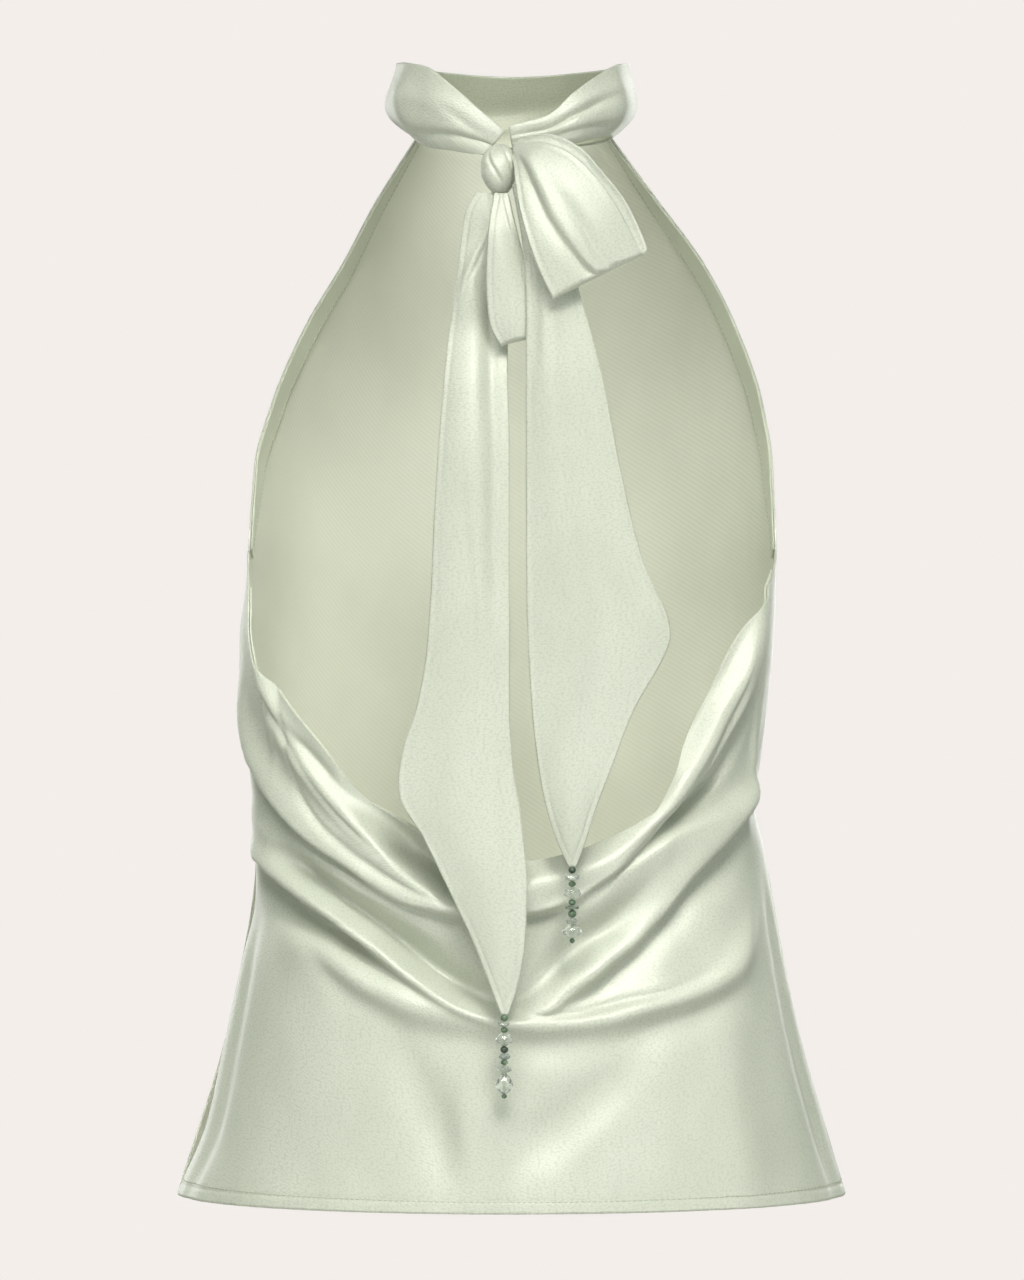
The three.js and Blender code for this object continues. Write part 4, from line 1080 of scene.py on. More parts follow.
@dataclass
class BodyForm:
    """The form of the front and the back, that of the part's solids with finer folds."""

    front_rows: Rows = FRONT
    body_rows: Rows = BODY
    swag_rows: Rows = SWAGS
    cross_folds: tuple[Fold, ...] = CROSS_FOLDS + FINE_FOLDS
    falling_folds: tuple[Fold, ...] = FALLING_FOLDS
    # How far to each side a fold's slope is read, as a share across
    slope_step: float = 0.01

    def __post_init__(self) -> None:
        """Make the curves of the tables."""
        (self.edge_z, self.edge_y, self.left, self.right, self.middle_z, self.middle_y,
         self.turn) = table_curves(self.front_rows)
        self.body_left, self.body_right, self.body_back = table_curves(self.body_rows)
        self.swags = table_curves(self.swag_rows)

    def front_fold(self, across: Array, down: Array) -> Array:
        """How far the front's falling folds push it out.

        Args:
            across: -1 at its right edge to 1.
            down: 0 at the neck seam to 1 at the hem.

        Returns:
            The push at each point, in millimetres.
        """
        out = np.zeros_like(across * down)
        for place, starts, full, push, width in FRONT_FOLDS:
            grown = smooth_step(starts, full, down)
            # A gather at the neck seam dies away again further down
            if full < NECK_FOLD_END:
                grown = grown * (1 - smooth_step(full, NECK_FOLD_END, down))
            out += push * grown * fold_shape(across - place, width, width)
        return out * (1 - across ** 6)

    def front(self, across: Array, down: Array) -> Array:
        """Points of the front's middle.

        Args:
            across: -1 at its right edge to 1.
            down: 0 at the neck seam to 1 at the hem.

        Returns:
            The points, in millimetres.
        """
        turn = np.radians(self.turn(down))
        angle = across * turn
        half = np.where(across > 0, self.left(down), self.right(down))
        edge_y = self.edge_y(down)
        out = self.front_fold(across, down)
        bow = (np.cos(angle) - np.cos(turn)) / (1 - np.cos(turn))
        x = half * np.sin(angle) / np.sin(turn) + out * np.sin(angle)
        y = edge_y - SEAM_GAP / 2 - (edge_y - self.middle_y(down)) * bow - out * np.cos(angle)
        rise = self.edge_z(down) - self.middle_z(down)
        z = self.middle_z(down) + rise * np.abs(across) ** EDGE_SWEEP
        return np.stack([x, y, z], -1)

    def back_fold(self, across: Array, z: Array, half: Array) -> Array:
        """How far the folds of the back push it out.

        Args:
            across: -1 at the right side seam to 1.
            z: the height.
            half: the body's half width there.

        Returns:
            The push, in millimetres.
        """
        step = self.slope_step
        out = np.zeros_like(z)
        for fold in self.cross_folds:
            line = through_pairs(fold.line)
            slope = (line(across + step) - line(across - step)) / (2 * step * half * math.pi / 2)
            away = (z - line(across)) / np.hypot(1, slope)
            out += fold.push(away) * fading(fold.line, across, FOLD_END)
        for fold in self.falling_folds:
            away = (across - through_pairs(fold.line)(z)) * half * math.pi / 2
            out += fold.push(away) * fading(fold.line, z, FALL_END)
        return out * (1 - smooth_step(1 - SEAM_EASE, 1, np.abs(across)))

    def back(self, across: Array, down: Array) -> Array:
        """Points of the back's middle.

        Args:
            across: places from -1 at its right seam to 1, one for each column.
            down: shares from 0 at the cowl's edge to 1 at the hem, one for each row.

        Returns:
            The points of the grid, in millimetres.
        """
        heights = np.stack([swag(down) for swag in self.swags], -1)
        level = np.stack([smooth_curve(SWAG_PLACES, row)(across) for row in heights])
        across = np.broadcast_to(across, level.shape)
        angle = across * math.pi / 2
        half = np.where(across > 0, self.body_left(level), self.body_right(level))
        depth = self.body_back(level)
        out = self.back_fold(across, level, half)
        outward = np.stack([depth * np.sin(angle), half * np.cos(angle)], -1)
        outward /= np.linalg.norm(outward, axis=-1, keepdims=True)
        x = half * np.sin(angle) + out * outward[..., 0]
        y = SIDE_SEAM_Y + SEAM_GAP / 2 + depth * np.cos(angle) + out * outward[..., 1]
        z = level - FOLD_LEAN * np.maximum(out, 0) * smooth_step(CALM_TO, CALM_FROM, level)
        return np.stack([x, y, z], -1)


def from_axis(points: Array) -> Array:
    """The level direction away from the body's axis."""
    return points * np.array([1.0, 1.0, 0.0])


# Rows close to the hem, and its stitching, in millimetres from the hem's edge
HEM_STEPS = (0.4, 1.0, 2.2, 3.6, 4.6, 5.2, 5.7, 6.1, 6.6, 7.6)
HEM_STITCHING = HEM_DEPTH - 0.6
HEM_TURN = (HEM_DEPTH - 0.5, HEM_DEPTH + 0.4)
# The least room between an even row and those of the hem, as a share
ROW_ROOM = 0.002
# How the stitching dents the cloth on each side, and puckers it above and below
STITCH_DENT = 0.28
STITCH_DENT_INSIDE = 0.2
STITCH_LIFT = 0.12
PUCKER = 0.22
PUCKER_PITCH = 11.0
PUCKER_REACH = 14.0


def hem_rows(shares: Array, length: float) -> Array:
    """Add rows close to the hem to rows that run down a panel.

    Args:
        shares: rising shares down the panel.
        length: the panel's length, in millimetres.

    Returns:
        The shares with those of the hem.
    """
    near = 1 - np.array(HEM_STEPS) / length
    kept = shares[(shares < near.min() - ROW_ROOM) | (shares == 1)]
    return np.unique(np.concatenate([kept, near]))


def hem_offsets(sheet: Sheet) -> tuple[Array, Array, Array]:
    """The walls of a panel with a narrow hem turned up twice on its inside.

    Args:
        sheet: the panel's grid with plain walls.

    Returns:
        The outer and inner offsets, and how far each point is from the hem's edge.
    """
    down = sheet.flat[..., 1]
    from_hem = down[-1:] - down
    turned = 1 - smooth_step(*HEM_TURN, from_hem)
    stitched = np.exp(-(from_hem - HEM_STITCHING) ** 2)
    ripple = 0.5 + 0.5 * np.sin(2 * math.pi * sheet.flat[..., 0] / PUCKER_PITCH)
    near = np.exp(-(from_hem / PUCKER_REACH) ** 2)
    high = CLOTH / 2 - STITCH_DENT * stitched + PUCKER * near * ripple
    low = -CLOTH / 2 - HEM_LAYERS * turned + STITCH_DENT_INSIDE * stitched
    return high, low, from_hem


@dataclass
class FrontPanel(ClothPiece):
    """The front, one piece from the neck seam to the hem."""

    form: BodyForm = field(default_factory=BodyForm)
    columns: int = 150
    rows: int = 120
    length: float = 560.0
    # How closely the columns crowd at the edges, as an angle of a sine
    crowding: float = 1.45

    def sheet(self) -> Sheet:
        """The panel's grid, with its columns closer at the edges.

        Returns:
            The sheet, with its hem turned.
        """
        places = np.sin(np.linspace(-1, 1, self.columns + 1) * self.crowding)
        across, down = np.meshgrid(places / math.sin(self.crowding),
                                   hem_rows(spaced(self.rows), self.length))
        middle = self.form.front(across, down)
        made = Sheet(middle, from_axis(middle), square_ends=down[:, 0] >= ARMHOLE_END,
                     rounded=(True, True, False, False))
        made.high, made.low, _ = hem_offsets(made)
        return made

    def trim(self, sheet: Sheet, finishes: Finishes) -> list[bpy.types.Object]:
        """The hem's row of stitches."""
        return [hem_stitches("front_hem_stitches", sheet, finishes.thread)]


def hem_stitches(name: str, sheet: Sheet, thread: bpy.types.Material) -> bpy.types.Object:
    """The row of stitches that holds a panel's hem, on its outer side.

    Args:
        name: the piece's name.
        sheet: the panel's grid.
        thread: the thread's material.

    Returns:
        The stitches.
    """
    _, _, from_hem = hem_offsets(sheet)
    row = int(np.argmin(np.abs(from_hem[:, from_hem.shape[1] // 2] - HEM_STITCHING)))
    line = sheet.layer(sheet.high + STITCH_LIFT)[row]
    return stitch_row(name, line, sheet.normal[row], thread)


def inside_layer(middle: Array, rounded: tuple[bool, bool, bool, bool]) -> Sheet:
    """A layer of cloth on the inside of a panel.

    Args:
        middle: points of the panel's middle.
        rounded: the edges of the layer that are rounded.

    Returns:
        The layer.
    """
    inside = -(CLOTH / 2 + SEAM_GAP)
    return Sheet(middle, from_axis(middle), high=inside, low=inside - FACING_CLOTH,
                 rounded=rounded)


@dataclass
class ArmholeBinding(ClothPiece):
    """The binding that is turned to the inside of one armhole."""

    form: BodyForm = field(default_factory=BodyForm)
    side: int = 1
    rows: int = 110
    # Where the stitches run, as a share of the way from the armhole's edge inwards
    stitching: float = 0.78

    def sheet(self) -> Sheet:
        """The binding's grid, a layer on the inside of the front.

        Returns:
            The sheet.
        """
        down = spaced(self.rows) * ARMHOLE_END
        turn = np.radians(self.form.turn(down))
        radius = (self.form.left(down) + self.form.right(down)) / 2 / np.sin(turn)
        share = ARMHOLE_FACING / (radius * turn)
        steps = spaced(8, FACING_EDGES)
        across = self.side * (1 - share[:, None] * steps[None, :])
        middle = self.form.front(across, np.broadcast_to(down[:, None], across.shape))
        return inside_layer(middle, (False, False, True, True))

    def sides(self, finishes: Finishes) -> tuple[bpy.types.Material, bpy.types.Material]:
        """The binding shows the face of the satin inside the top."""
        return finishes.facing, finishes.facing

    def trim(self, sheet: Sheet, finishes: Finishes) -> list[bpy.types.Object]:
        """The stitches along the binding's inner edge.

        Args:
            sheet: the binding's grid.
            finishes: the finishes of the top.

        Returns:
            The row of stitches.
        """
        column = int(sheet.middle.shape[1] * self.stitching)
        line, inwards = sheet.layer(sheet.low)[:, column], -sheet.normal[:, column]
        return [stitch_row(f"{self.name}_stitches", line, inwards, finishes.thread)]


@dataclass
class BackPanel(ClothPiece):
    """The back, which hangs from the side seams in a cowl."""

    form: BodyForm = field(default_factory=BodyForm)
    columns: int = 220
    rows: int = 150
    length: float = 360.0

    def sheet(self) -> Sheet:
        """The panel's grid.

        Returns:
            The sheet, with its hem turned.
        """
        down = hem_rows(spaced(self.rows, EDGE_ROWS), self.length)
        across = np.linspace(1, -1, self.columns + 1)
        middle = self.form.back(across, down)
        made = Sheet(middle, from_axis(middle), square_ends=np.ones(len(down), bool),
                     rounded=(True, True, False, False))
        made.high, made.low, _ = hem_offsets(made)
        return made

    def trim(self, sheet: Sheet, finishes: Finishes) -> list[bpy.types.Object]:
        """The hem's row of stitches."""
        return [hem_stitches("back_hem_stitches", sheet, finishes.thread)]


@dataclass
class CowlFacing(ClothPiece):
    """The facing turned to the inside of the cowl's edge."""

    form: BodyForm = field(default_factory=BodyForm)
    columns: int = 200
    rows: int = 8
    # Shares: how far its ends stay from the side seams, and its depth down the back
    margin: float = 0.087
    depth: float = 0.059

    def sheet(self) -> Sheet:
        """The facing's grid, a layer on the inside of the back.

        Returns:
            The sheet.
        """
        down = spaced(self.rows) * self.depth
        across = np.linspace(1 - self.margin, self.margin - 1, self.columns + 1)
        return inside_layer(self.form.back(across, down), (False, True, False, False))

    def sides(self, finishes: Finishes) -> tuple[bpy.types.Material, bpy.types.Material]:
        """The facing shows its own satin."""
        return finishes.facing, finishes.facing


@dataclass
class NeckTie(ClothPiece):
    """The tie where it stands round the neck, folded double."""

    form: BodyForm = field(default_factory=BodyForm)
    collar: Rows = COLLAR
    left_wrap: Rows = LEFT_WRAP
    right_wrap: Rows = RIGHT_WRAP
    folds: tuple[Fold, ...] = COLLAR_FOLDS
    columns: int = 260
    rows: int = 30
    fold_end: float = 0.12

    def sheet(self) -> Sheet:
        """The tie's grid, from the knot round the front and back to it.

        Returns:
            The sheet.
        """
        turn, up = np.meshgrid(np.linspace(-2, 2, self.columns + 1), spaced(self.rows, TIE_EDGES))
        front = np.clip(turn, -1, 1)
        foot = self.form.front(front, np.zeros_like(front))
        foot[..., 2] += FRONT_SEAM_RISE + (NECK_SEAM_RISE - FRONT_SEAM_RISE) * np.abs(front) ** 3
        top_z, belly, flare = (curve(front) for curve in table_curves(self.collar))
        lean = np.stack([np.sin(front * math.pi / 2), -np.cos(front * math.pi / 2), 0 * front], -1)
        top = foot + lean * flare[..., None]
        top[..., 2] = top_z
        for side, rows in ((1, self.left_wrap), (-1, self.right_wrap)):
            place = turn * side
            values = [curve(place) for curve in table_curves(rows)]
            beyond = place > 1
            foot[beyond] = np.stack(values[:3], -1)[beyond]
            top[beyond] = np.stack(values[3:6], -1)[beyond]
            belly = np.where(beyond, values[6], belly)
        outward = from_axis(foot)
        outward /= np.linalg.norm(outward, axis=-1, keepdims=True)
        push = belly * np.sin(math.pi * (up + BELLY_DROP * up * (1 - up)))
        height = np.linalg.norm(top - foot, axis=-1)
        relief = ribbon_relief(self.folds, turn, up, height, self.fold_end)
        relief = relief * np.sin(math.pi * np.clip(up, 0, 1)) ** 0.5
        middle = foot + (top - foot) * up[..., None] + outward * (push + relief)[..., None]
        half = COLLAR_CLOTH / 2
        return Sheet(middle, from_axis(middle), high=half, low=-half,
                     rounded=(False, True, True, True))

    def sides(self, finishes: Finishes) -> tuple[bpy.types.Material, bpy.types.Material]:
        """The tie is folded double, so both its sides show the satin's face; the inner side takes a
        darker copy of it, with painted shade.
        """
        return finishes.satin, finishes.inner

    def trim(self, sheet: Sheet, finishes: Finishes) -> list[bpy.types.Object]:
        """The knot, which is a stretch of the tie wound round itself."""
        return [BowKnot().build(finishes)]


# The edge of a ribbon: half width of its roll, where the groove beside it lies, its half width
ROLL_WIDTH = 0.9
GROOVE_PLACE = 2.2
GROOVE_WIDTH = 0.5


@dataclass
class Ribbon(ClothPiece):
    """A free stretch of the tie, folded double, with soft rolled edges."""

    rows: Rows = ()
    folds: tuple[Fold, ...] = ()
    roll: float = 0.35
    groove: float = 0.3

    def rolled(self, middle: Array, side: Array, width: Array) -> Sheet:
        """The ribbon's sheet, thicker in a roll along both edges and thinner beside it.

        Args:
            middle: points of its middle.
            side: the share across at each of them.
            width: the ribbon's width there, in millimetres.

        Returns:
            The sheet, with its face towards the back.
        """
        edge = np.minimum(side, 1 - side) * width
        roll = self.roll * np.exp(-(edge / ROLL_WIDTH) ** 2)
        half = CLOTH / 2 + roll - self.groove * np.exp(-((edge - GROOVE_PLACE) / GROOVE_WIDTH) ** 2)
        return Sheet(middle, np.broadcast_to([0.0, 1.0, 0.0], middle.shape), high=half, low=-half)

    def sides(self, finishes: Finishes) -> tuple[bpy.types.Material, bpy.types.Material]:
        """Both sides of the ribbon show the satin's face."""
        return finishes.satin, finishes.satin


@dataclass
class TieTail(Ribbon):
    """A tail of the bow, which hangs to a point."""

    lines: int = 220
    columns: int = 36
    fold_end: float = 16.0
    # The width from which the folds have their whole depth
    full_width: float = 24.0

    def sheet(self) -> Sheet:
        """The tail's grid, from its edge on the wearer's left to the other one.

        Returns:
            The sheet.
        """
        left, right, back, cup = table_curves(self.rows)
        side, share = np.meshgrid(spaced(self.columns, RIBBON_EDGES), spaced(self.lines, EDGE_ROWS))
        z = self.rows[0][0] + (self.rows[-1][0] - self.rows[0][0]) * share
        x = left(z) + (right(z) - left(z)) * side
        width = np.abs(right(z) - left(z))
        y = back(z) + cup(z) * np.sin(math.pi * side)
        ease = np.sin(math.pi * np.clip(side, 0, 1)) ** RIBBON_CALM
        ease = ease * smooth_step(0, self.full_width, width)
        y = y + ribbon_relief(self.folds, z, side, width, self.fold_end) * ease
        return self.rolled(np.stack([x, y, z], -1), side, width)


@dataclass
class BowLoop(Ribbon):
    """A loop of the bow, which leaves the knot, turns over and comes back behind itself."""

    roll: float = 0.3
    groove: float = 0.25
    lines: int = 170
    columns: int = 40
    fold_end: float = 0.05
    # The widths at which folds start and have their whole depth
    least_width: float = 4.0
    full_width: float = 22.0

    def sheet(self) -> Sheet:
        """The loop's grid, from where it leaves the knot to where it comes back.

        Returns:
            The sheet.
        """
        step = np.arange(len(self.rows), dtype=float)
        curves = [smooth_curve(step, column) for column in np.array(self.rows).T]
        side, along = np.meshgrid(spaced(self.columns, RIBBON_EDGES), spaced(self.lines))
        x, z, y, upper_x, upper_z, upper_y, cup = (curve(along * step[-1]) for curve in curves)
        width = np.sqrt((upper_x - x) ** 2 + (upper_y - y) ** 2 + (upper_z - z) ** 2)
        ease = np.sin(math.pi * np.clip(side, 0, 1)) ** RIBBON_CALM
        ease = ease * smooth_step(self.least_width, self.full_width, width)
        relief = ribbon_relief(self.folds, along, side, width, self.fold_end) * ease
        middle = np.stack([x + (upper_x - x) * side,
                           y + (upper_y - y) * side + cup * np.sin(math.pi * side) + relief,
                           z + (upper_z - z) * side], -1)
        return self.rolled(middle, side, width)


@dataclass
class BowKnot:
    """The knot, a short turn of the tie wound round its middle with a few creases."""

    name: str = "bow_knot_satin"
    node: str = "bow_knot"
    rows: Rows = KNOT
    sides: int = 72
    levels: int = 64
    # Millimetres of cloth round the knot for each degree
    cloth_round: float = 0.13
    # Turn of the crease at the knot's top and foot in degrees, depth, half width in degrees
    creases: Rows = (
        (22, 118, -1.1, 7), (36, 134, 0.5, 9), (104, 168, -1.0, 7), (200, 240, -0.6, 14),
        (300, 330, -0.6, 14),
    )

    def build(self, finishes: Finishes) -> bpy.types.Object:
        """Make the knot, which goes with the tie.

        Args:
            finishes: the finishes of the top.

        Returns:
            The knot.
        """
        x, y, half_width, half_depth = table_curves(self.rows)
        share = 0.5 - 0.5 * np.cos(np.linspace(0, math.pi, self.levels))
        top_z, foot_z = self.rows[0][0], self.rows[-1][0]
        z = (top_z + (foot_z - top_z) * share)[:, None]
        turn = np.linspace(0, 360, self.sides, endpoint=False)[None, :]
        push = np.zeros((self.levels, self.sides))
        for top, foot, out, width in self.creases:
            away = (turn - (top + (foot - top) * share[:, None]) + 180) % 360 - 180
            push += out * np.exp(-(away / width) ** 2) * np.sin(math.pi * share[:, None]) ** 0.5
        angle = np.radians(turn)
        points = np.stack([x(z) + (half_width(z) + push) * np.cos(angle),
                           y(z) + (half_depth(z) + push) * np.sin(angle), z + 0 * angle], -1)
        index = np.arange(self.levels * self.sides).reshape(self.levels, self.sides)
        after = np.roll(index, -1, axis=1)
        quads = np.stack([index[:-1], index[1:], after[1:], after[:-1]], -1).reshape(-1, 4)
        faces = [*quads.tolist(), index[0].tolist(), index[-1][::-1].tolist()]
        made = make_object(self.name, points.reshape(-1, 3), faces, [finishes.satin])
        flat = np.stack([turn * self.cloth_round + 0 * z, z + 0 * turn], -1)
        add_weave(made, flat.reshape(-1, 2))
        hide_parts(self.node)
        LOG.info("%s: %d faces", self.name, len(faces))
        return made


# How much of its unevenness a bead's corner has in height, and the share of its place it fills
UNEVEN_RISE = 0.3
BEAD_FILL = 0.98


def faceted(centre: Array, half: float, size: float, levels: Pairs, sides: int, twist: bool,
            wobble: float, seed: int) -> tuple[Array, list[tuple[int, ...]]]:
    """A bead as level rings of flat faces.

    Args:
        centre: the middle of the bead, in millimetres.
        half: its half width.
        size: its height.
        levels: shares of the height from -0.5 to 0.5, with the share of the half width.
        sides: the number of faces round it.
        twist: whether each ring is turned by half a face from the one before.
        wobble: the share by which its corners are uneven.
        seed: which uneven shape it has.

    Returns:
        The points and the faces.
    """
    uneven = np.random.default_rng(seed)
    points, faces = [], []
    for level, (place, share) in enumerate(levels):
        for k in range(sides):
            turn = 2 * math.pi * (k + (0.5 * (level % 2) if twist else 0)) / sides
            reach = half * share * (1 - wobble * uneven.random())
            tilt = wobble * UNEVEN_RISE * (uneven.random() - 0.5) * (share > 0.5)
            rise = size * (place + tilt)
            points.append(centre + np.array([reach * math.cos(turn), reach * math.sin(turn), rise]))
    for level in range(len(levels) - 1):
        for k in range(sides):
            a, b = level * sides + k, level * sides + (k + 1) % sides
            c, d = a + sides, b + sides
            if not twist:
                faces.append((a, b, d, c))
            elif level % 2 == 0:
                faces.extend([(a, b, c), (b, d, c)])
            else:
                faces.extend([(a, b, d), (a, d, c)])
    faces.append(tuple(range(sides - 1, -1, -1)))
    last = (len(levels) - 1) * sides
    faces.append(tuple(range(last, last + sides)))
    return np.array(points), faces


# Forms of the beads: shares of the height, with shares of the half width
ROUND_LEVELS: Pairs = tuple(
    (-0.5 * math.cos(math.pi * i / 10), max(math.sin(math.pi * i / 10), 0.25)) for i in range(11))
CRYSTAL_LEVELS: Pairs = ((-0.5, 0.34), (-0.26, 0.86), (0.0, 1.0), (0.26, 0.86), (0.5, 0.34))
TEARDROP_LEVELS: Pairs = ((-0.5, 0.26), (-0.36, 0.72), (-0.12, 1.0), (0.14, 0.86), (0.36, 0.5),
                          (0.5, 0.22))
CHIP_LEVELS: Pairs = ((-0.5, 0.45), (-0.22, 0.95), (0.18, 1.0), (0.5, 0.5))
DISC_LEVELS: Pairs = ((-0.5, 0.5), (-0.3, 0.94), (0.3, 1.0), (0.5, 0.55))
# Each kind's form, number of sides, whether it is faceted, and how uneven it is
BEAD_FORMS: dict[BeadKind, tuple[Pairs, int, bool, float]] = {
    BeadKind.GREEN: (ROUND_LEVELS, 18, False, 0.0),
    BeadKind.DARK: (ROUND_LEVELS, 18, False, 0.0),
    BeadKind.CHIP: (CHIP_LEVELS, 7, True, 0.3),
    BeadKind.GREY_CHIP: (CHIP_LEVELS, 7, True, 0.3),
    BeadKind.CRYSTAL: (CRYSTAL_LEVELS, 8, True, 0.0),
    BeadKind.TEARDROP: (TEARDROP_LEVELS, 8, True, 0.0),
    BeadKind.DISC: (DISC_LEVELS, 9, False, 0.16),
}


@dataclass
class BeadDrop:
    """A drop of beads on a thread below the point of a tail."""

    name: str
    node: str
    x: float
    y: float
    top: float
    beads: tuple[tuple[BeadKind, float, float], ...]
    thread: float = 0.35
    # How far the thread reaches up into the tail's point
    tucked: float = 0.4

    def build(self, finishes: Finishes) -> None:
        """Make the beads of each kind and the thread, and set them in the frame.

        Args:
            finishes: the finishes of the top.
        """
        groups: dict[BeadKind, tuple[list[Array], list[tuple[int, ...]]]] = {}
        below = self.top
        for seed, (kind, size, half) in enumerate(self.beads):
            levels, sides, twist, wobble = BEAD_FORMS[kind]
            centre = np.array([self.x, self.y, below - size / 2])
            height = size * BEAD_FILL
            points, faces = faceted(centre, half, height, levels, sides, twist, wobble, seed)
            made_points, made_faces = groups.setdefault(kind, ([], []))
            shift = sum(len(part) for part in made_points)
            made_points.append(points)
            made_faces.extend(tuple(i + shift for i in each) for each in faces)
            below -= size
        made = []
        for kind, (parts, faces) in groups.items():
            made.append(make_object(f"{self.name}_{kind.value}", np.concatenate(parts), faces,
                                    [finishes.beads[kind]], BEAD_FORMS[kind][0] is ROUND_LEVELS))
        made.append(self.hanging_thread(below, finishes.thread))
        for piece in made:
            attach(piece, "root")
        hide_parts(self.node)
        LOG.info("%s: %d beads in %d pieces", self.name, len(self.beads), len(made))

    def hanging_thread(self, foot: float, material: bpy.types.Material) -> bpy.types.Object:
        """The thread that the beads hang on.

        Args:
            foot: the height of its lower end.
            material: the thread's material.

        Returns:
            The thread.
        """
        top = self.top + self.tucked
        middle = np.array([self.x, self.y, (top + foot) / 2])
        levels = tuple((-0.5 + i / 12, 1.0) for i in range(13))
        points, faces = faceted(middle, self.thread, top - foot, levels, 8, False, 0.0, 0)
        return make_object(f"{self.name}_thread", points, faces, [material])


@dataclass(frozen=True)
class Softbox:
    """A square soft light: where it stands, what it faces, and its side, in metres."""

    name: str
    place: tuple[float, float, float]
    size: float
    power: float
    tint: tuple[float, float, float]
    aim: tuple[float, float, float] = (0, 0, -0.35)
    spread: float = 180.0

    def build(self) -> None:
        """Set up the light."""
        data = bpy.data.lights.new(self.name, "AREA")
        data.shape, data.size, data.spread = "SQUARE", self.size, math.radians(self.spread)
        data.energy, data.color = self.power, self.tint
        made = bpy.data.objects.new(self.name, data)
        made.location = self.place
        x, y, z = np.array(self.place) - np.array(self.aim)
        made.rotation_euler = (math.atan2(math.hypot(x, y), z), 0, math.atan2(x, -y))
        bpy.context.scene.collection.objects.link(made)


LOW_BACK = (0, 0.05, -0.75)
SOFTBOXES = (
    Softbox("key_light", (-0.4, 1.9, 1.8), 1.0, 5.6, (1.0, 0.985, 0.96), LOW_BACK, 50),
    Softbox("second_light", (0.7, 2.0, 1.6), 0.8, 2.2, (1.0, 0.99, 0.97), LOW_BACK, 50),
    Softbox("left_light", (1.9, 2.3, -0.6), 1.3, 14.0, (1.0, 0.99, 0.97)),
    Softbox("right_light", (-1.9, 2.3, -0.5), 1.3, 17.0, (0.98, 0.99, 1.0)),
    Softbox("fill_light", (0, 3.3, -0.8), 2.0, 10.0, (1.0, 1.0, 1.0)),
    Softbox("front_left_light", (1.8, -2.6, 0.2), 1.8, 30.0, (1.0, 0.99, 0.98)),
    Softbox("front_right_light", (-1.1, -2.9, 0.4), 1.8, 46.0, (1.0, 0.99, 0.98)),
)


@dataclass
class Studio:
    """The camera, the soft lights, the floor and the pale ground behind."""

    distance: float = 3.0
    height: float = -0.265
    lens: float = 159.2
    sensor: float = 36.0
    floor_z: float = -1.42
    floor_radius: float = 6.0
    floor_sides: int = 96
    floor_glow: float = 0.9
    pale: tuple[int, int, int] = (243, 238, 234)
    room_tint: tuple[float, float, float] = (0.79, 0.97, 0.86)
    room_light: float = 0.17

    def build(self) -> None:
        """Set up the whole studio."""
        bpy.context.scene.view_settings.view_transform = "Standard"
        self.camera()
        self.world()
        self.floor()
        for light in SOFTBOXES:
            light.build()

    def camera(self) -> None:
        """The camera at the photograph's angle."""
        data = bpy.data.cameras.new("camera")
        data.lens, data.sensor_width = self.lens, self.sensor
        data.clip_start, data.clip_end = 0.1, 100.0
        made = bpy.data.objects.new("camera", data)
        made.location = (0, self.distance, self.height)
        made.rotation_euler = (math.pi / 2, 0, math.pi)
        bpy.context.scene.collection.objects.link(made)
        bpy.context.scene.camera = made

    def world(self) -> None:
        """Even pale light, dimmer on the cloth than the ground that shows behind it."""
        world = bpy.data.worlds.new("studio")
        world.use_nodes = True
        bpy.context.scene.world = world
        seen = world.node_tree.nodes["Background"]
        fill(seen, Color=colour(*self.pale), Strength=1.0)
        light = world.node_tree.nodes.new("ShaderNodeBackground")
        fill(light, Color=(*self.room_tint, 1), Strength=self.room_light)
        by_sight(world.node_tree, light.outputs[0], seen.outputs[0])

    def floor(self) -> None:
        """A plain pale round floor far below, as pale as the ground when it is looked at."""
        turn = np.linspace(0, 2 * math.pi, self.floor_sides, endpoint=False)
        points = np.stack([self.floor_radius * np.cos(turn), self.floor_radius * np.sin(turn),
                           0 * turn + self.floor_z], -1)
        nodes = Nodes("floor_paint")
        fill(nodes.shader, Base_Color=colour(*self.pale), Roughness=0.9)
        glow = nodes.node("ShaderNodeEmission")
        fill(glow, Color=colour(*self.pale), Strength=self.floor_glow)
        by_sight(nodes.tree, nodes.shader.outputs[0], glow.outputs[0])
        floor = make_object("floor", points / MM, [tuple(range(self.floor_sides))],
                            [nodes.material], smooth=False)


def by_sight(tree: bpy.types.NodeTree, lit: bpy.types.NodeSocket,
             seen: bpy.types.NodeSocket) -> None:
    """Show one shader where it is looked at straight, and the other to every other ray.

    Args:
        tree: the nodes of a material or a world.
        lit: the shader that lights the scene.
        seen: the shader that the camera sees.
    """
    output = next(node for node in tree.nodes if node.type.startswith("OUTPUT"))
    path = tree.nodes.new("ShaderNodeLightPath")
    mix = tree.nodes.new("ShaderNodeMixShader")
    tree.links.new(path.outputs["Is Camera Ray"], mix.inputs["Fac"])
    tree.links.new(lit, mix.inputs[1])
    tree.links.new(seen, mix.inputs[2])
    tree.links.new(mix.outputs[0], output.inputs["Surface"])


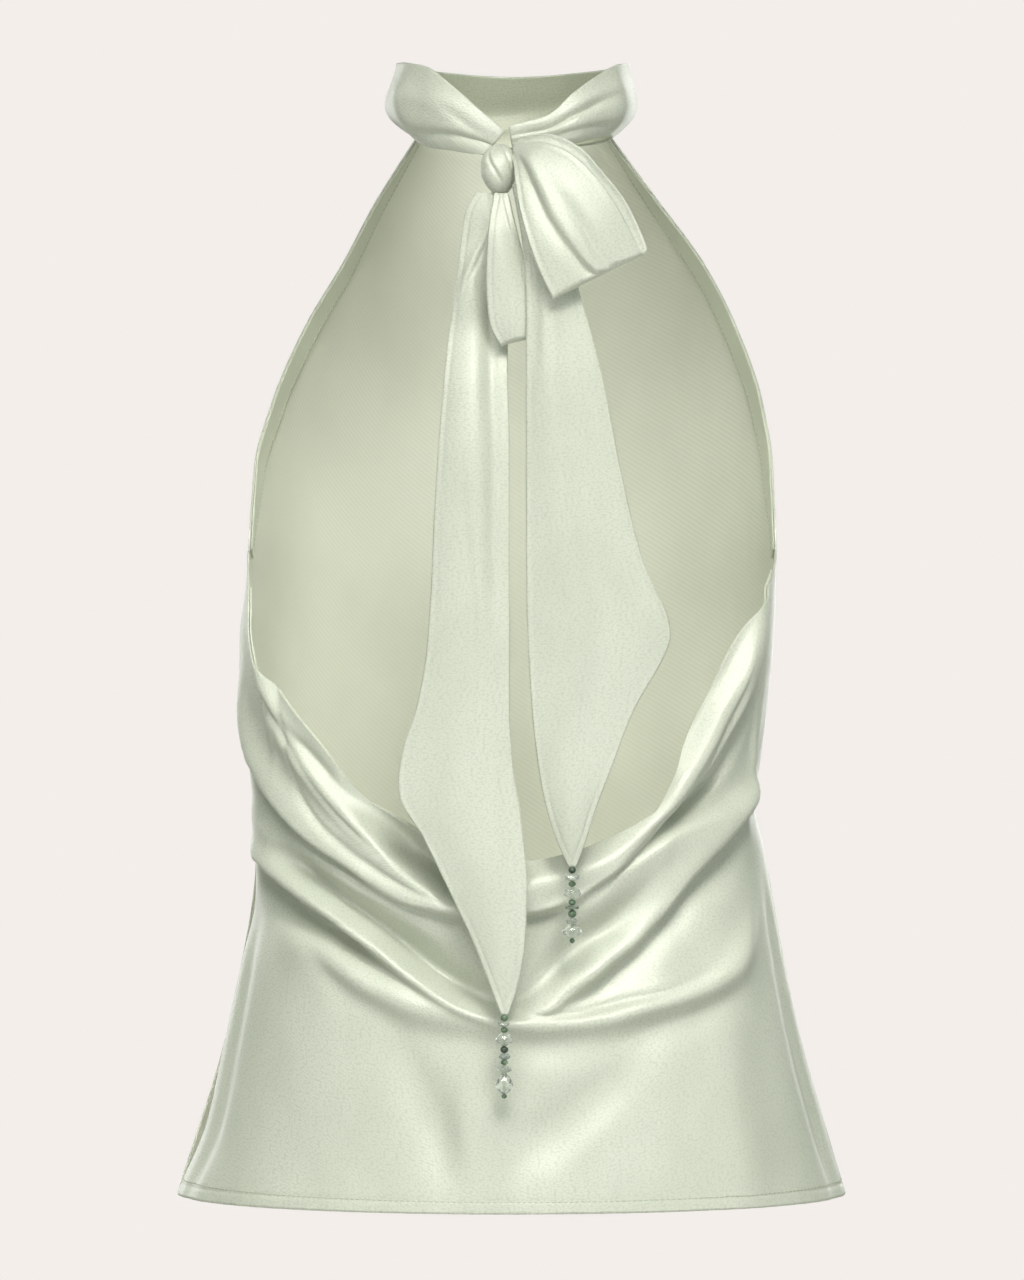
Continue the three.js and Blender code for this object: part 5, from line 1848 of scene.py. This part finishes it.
# The beads from the top down: kind, height, half width
LEFT_BEADS = (
    (BeadKind.GREEN, 3.6, 1.9), (BeadKind.CHIP, 2.8, 3.4), (BeadKind.GREEN, 3.0, 1.9),
    (BeadKind.CRYSTAL, 6.6, 4.6), (BeadKind.DARK, 3.8, 2.1), (BeadKind.GREY_CHIP, 3.2, 3.6),
    (BeadKind.GREEN, 2.8, 1.9), (BeadKind.CHIP, 3.8, 4.3), (BeadKind.TEARDROP, 10.8, 4.7),
    (BeadKind.GREEN, 2.4, 1.4),
)
RIGHT_BEADS = (
    (BeadKind.DARK, 3.6, 1.9), (BeadKind.CHIP, 3.8, 4.4), (BeadKind.GREEN, 3.0, 1.9),
    (BeadKind.CRYSTAL, 6.2, 4.7), (BeadKind.GREEN, 3.2, 1.9), (BeadKind.DISC, 2.2, 4.0),
    (BeadKind.GREEN, 4.2, 2.2), (BeadKind.CHIP, 3.6, 3.9), (BeadKind.CRYSTAL, 6.6, 5.0),
    (BeadKind.GREEN, 2.8, 1.3),
)


def cloth_pieces(form: BodyForm) -> list[ClothPiece]:
    """The pieces of cloth, in the order in which they are sewn.

    Args:
        form: the form of the front and the back.

    Returns:
        The pieces.
    """
    return [
        FrontPanel("front_satin", "front_panel", (0.50, 0.61), 0.213, ("neck_tie",), form=form),
        ArmholeBinding("armhole_binding_left", "armhole_facing_left", (0.0115, 0.264), None,
                       ("front_panel",), Held.STRETCHED, Slot.FACING, form=form, side=1),
        ArmholeBinding("armhole_binding_right", "armhole_facing_right", (0.0115, 0.264), None,
                       ("front_panel",), Held.STRETCHED, Slot.FACING, form=form, side=-1),
        BackPanel("back_satin", "back_panel", (0.53, 0.35), 0.107, ("front_panel",), Held.DRAPED,
                  form=form),
        CowlFacing("cowl_edge_facing", "cowl_facing", (0.49, 0.016), 0.0044, ("back_panel",),
                   Held.DRAPED, Slot.FACING, form=form),
        NeckTie("neck_tie_satin", "neck_tie", (0.40, 0.050), 0.0146, ("front_panel",), Held.FOLDED,
                form=form),
        BowLoop("bow_loop_satin", "bow_loop", (0.055, 0.185), 0.0074, ("bow_knot",), Held.FOLDED,
                rows=BOW_LOOP, folds=BOW_LOOP_FOLDS),
        BowLoop("bow_loop_middle_satin", "bow_loop_middle", (0.025, 0.16), 0.0027, ("bow_knot",),
                Held.FOLDED, rows=MIDDLE_LOOP, folds=MIDDLE_LOOP_FOLDS),
        TieTail("tail_left_satin", "tail_left", (0.061, 0.435), 0.0157, ("bow_knot",),
                rows=LEFT_TAIL, folds=LEFT_TAIL_FOLDS),
        TieTail("tail_right_satin", "tail_right", (0.073, 0.37), 0.0147, ("bow_knot",),
                rows=RIGHT_TAIL, folds=RIGHT_TAIL_FOLDS),
    ]


def bead_drops() -> list[BeadDrop]:
    """The drops of beads at the points of the tails."""
    return [BeadDrop("beads_left", "bead_drop_left", 3.9, 119.0, -455.6, LEFT_BEADS),
            BeadDrop("beads_right", "bead_drop_right", -30.7, 111.5, -380.6, RIGHT_BEADS)]


def main() -> None:
    """Build the studio and every piece of the top."""
    logging.basicConfig(level=logging.INFO, format="%(name)s %(message)s")
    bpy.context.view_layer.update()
    Studio().build()
    finishes = Finishes()
    for piece in (*cloth_pieces(BodyForm()), *bead_drops()):
        piece.build(finishes)
    bpy.context.view_layer.update()


if __name__ == "__main__":
    main()
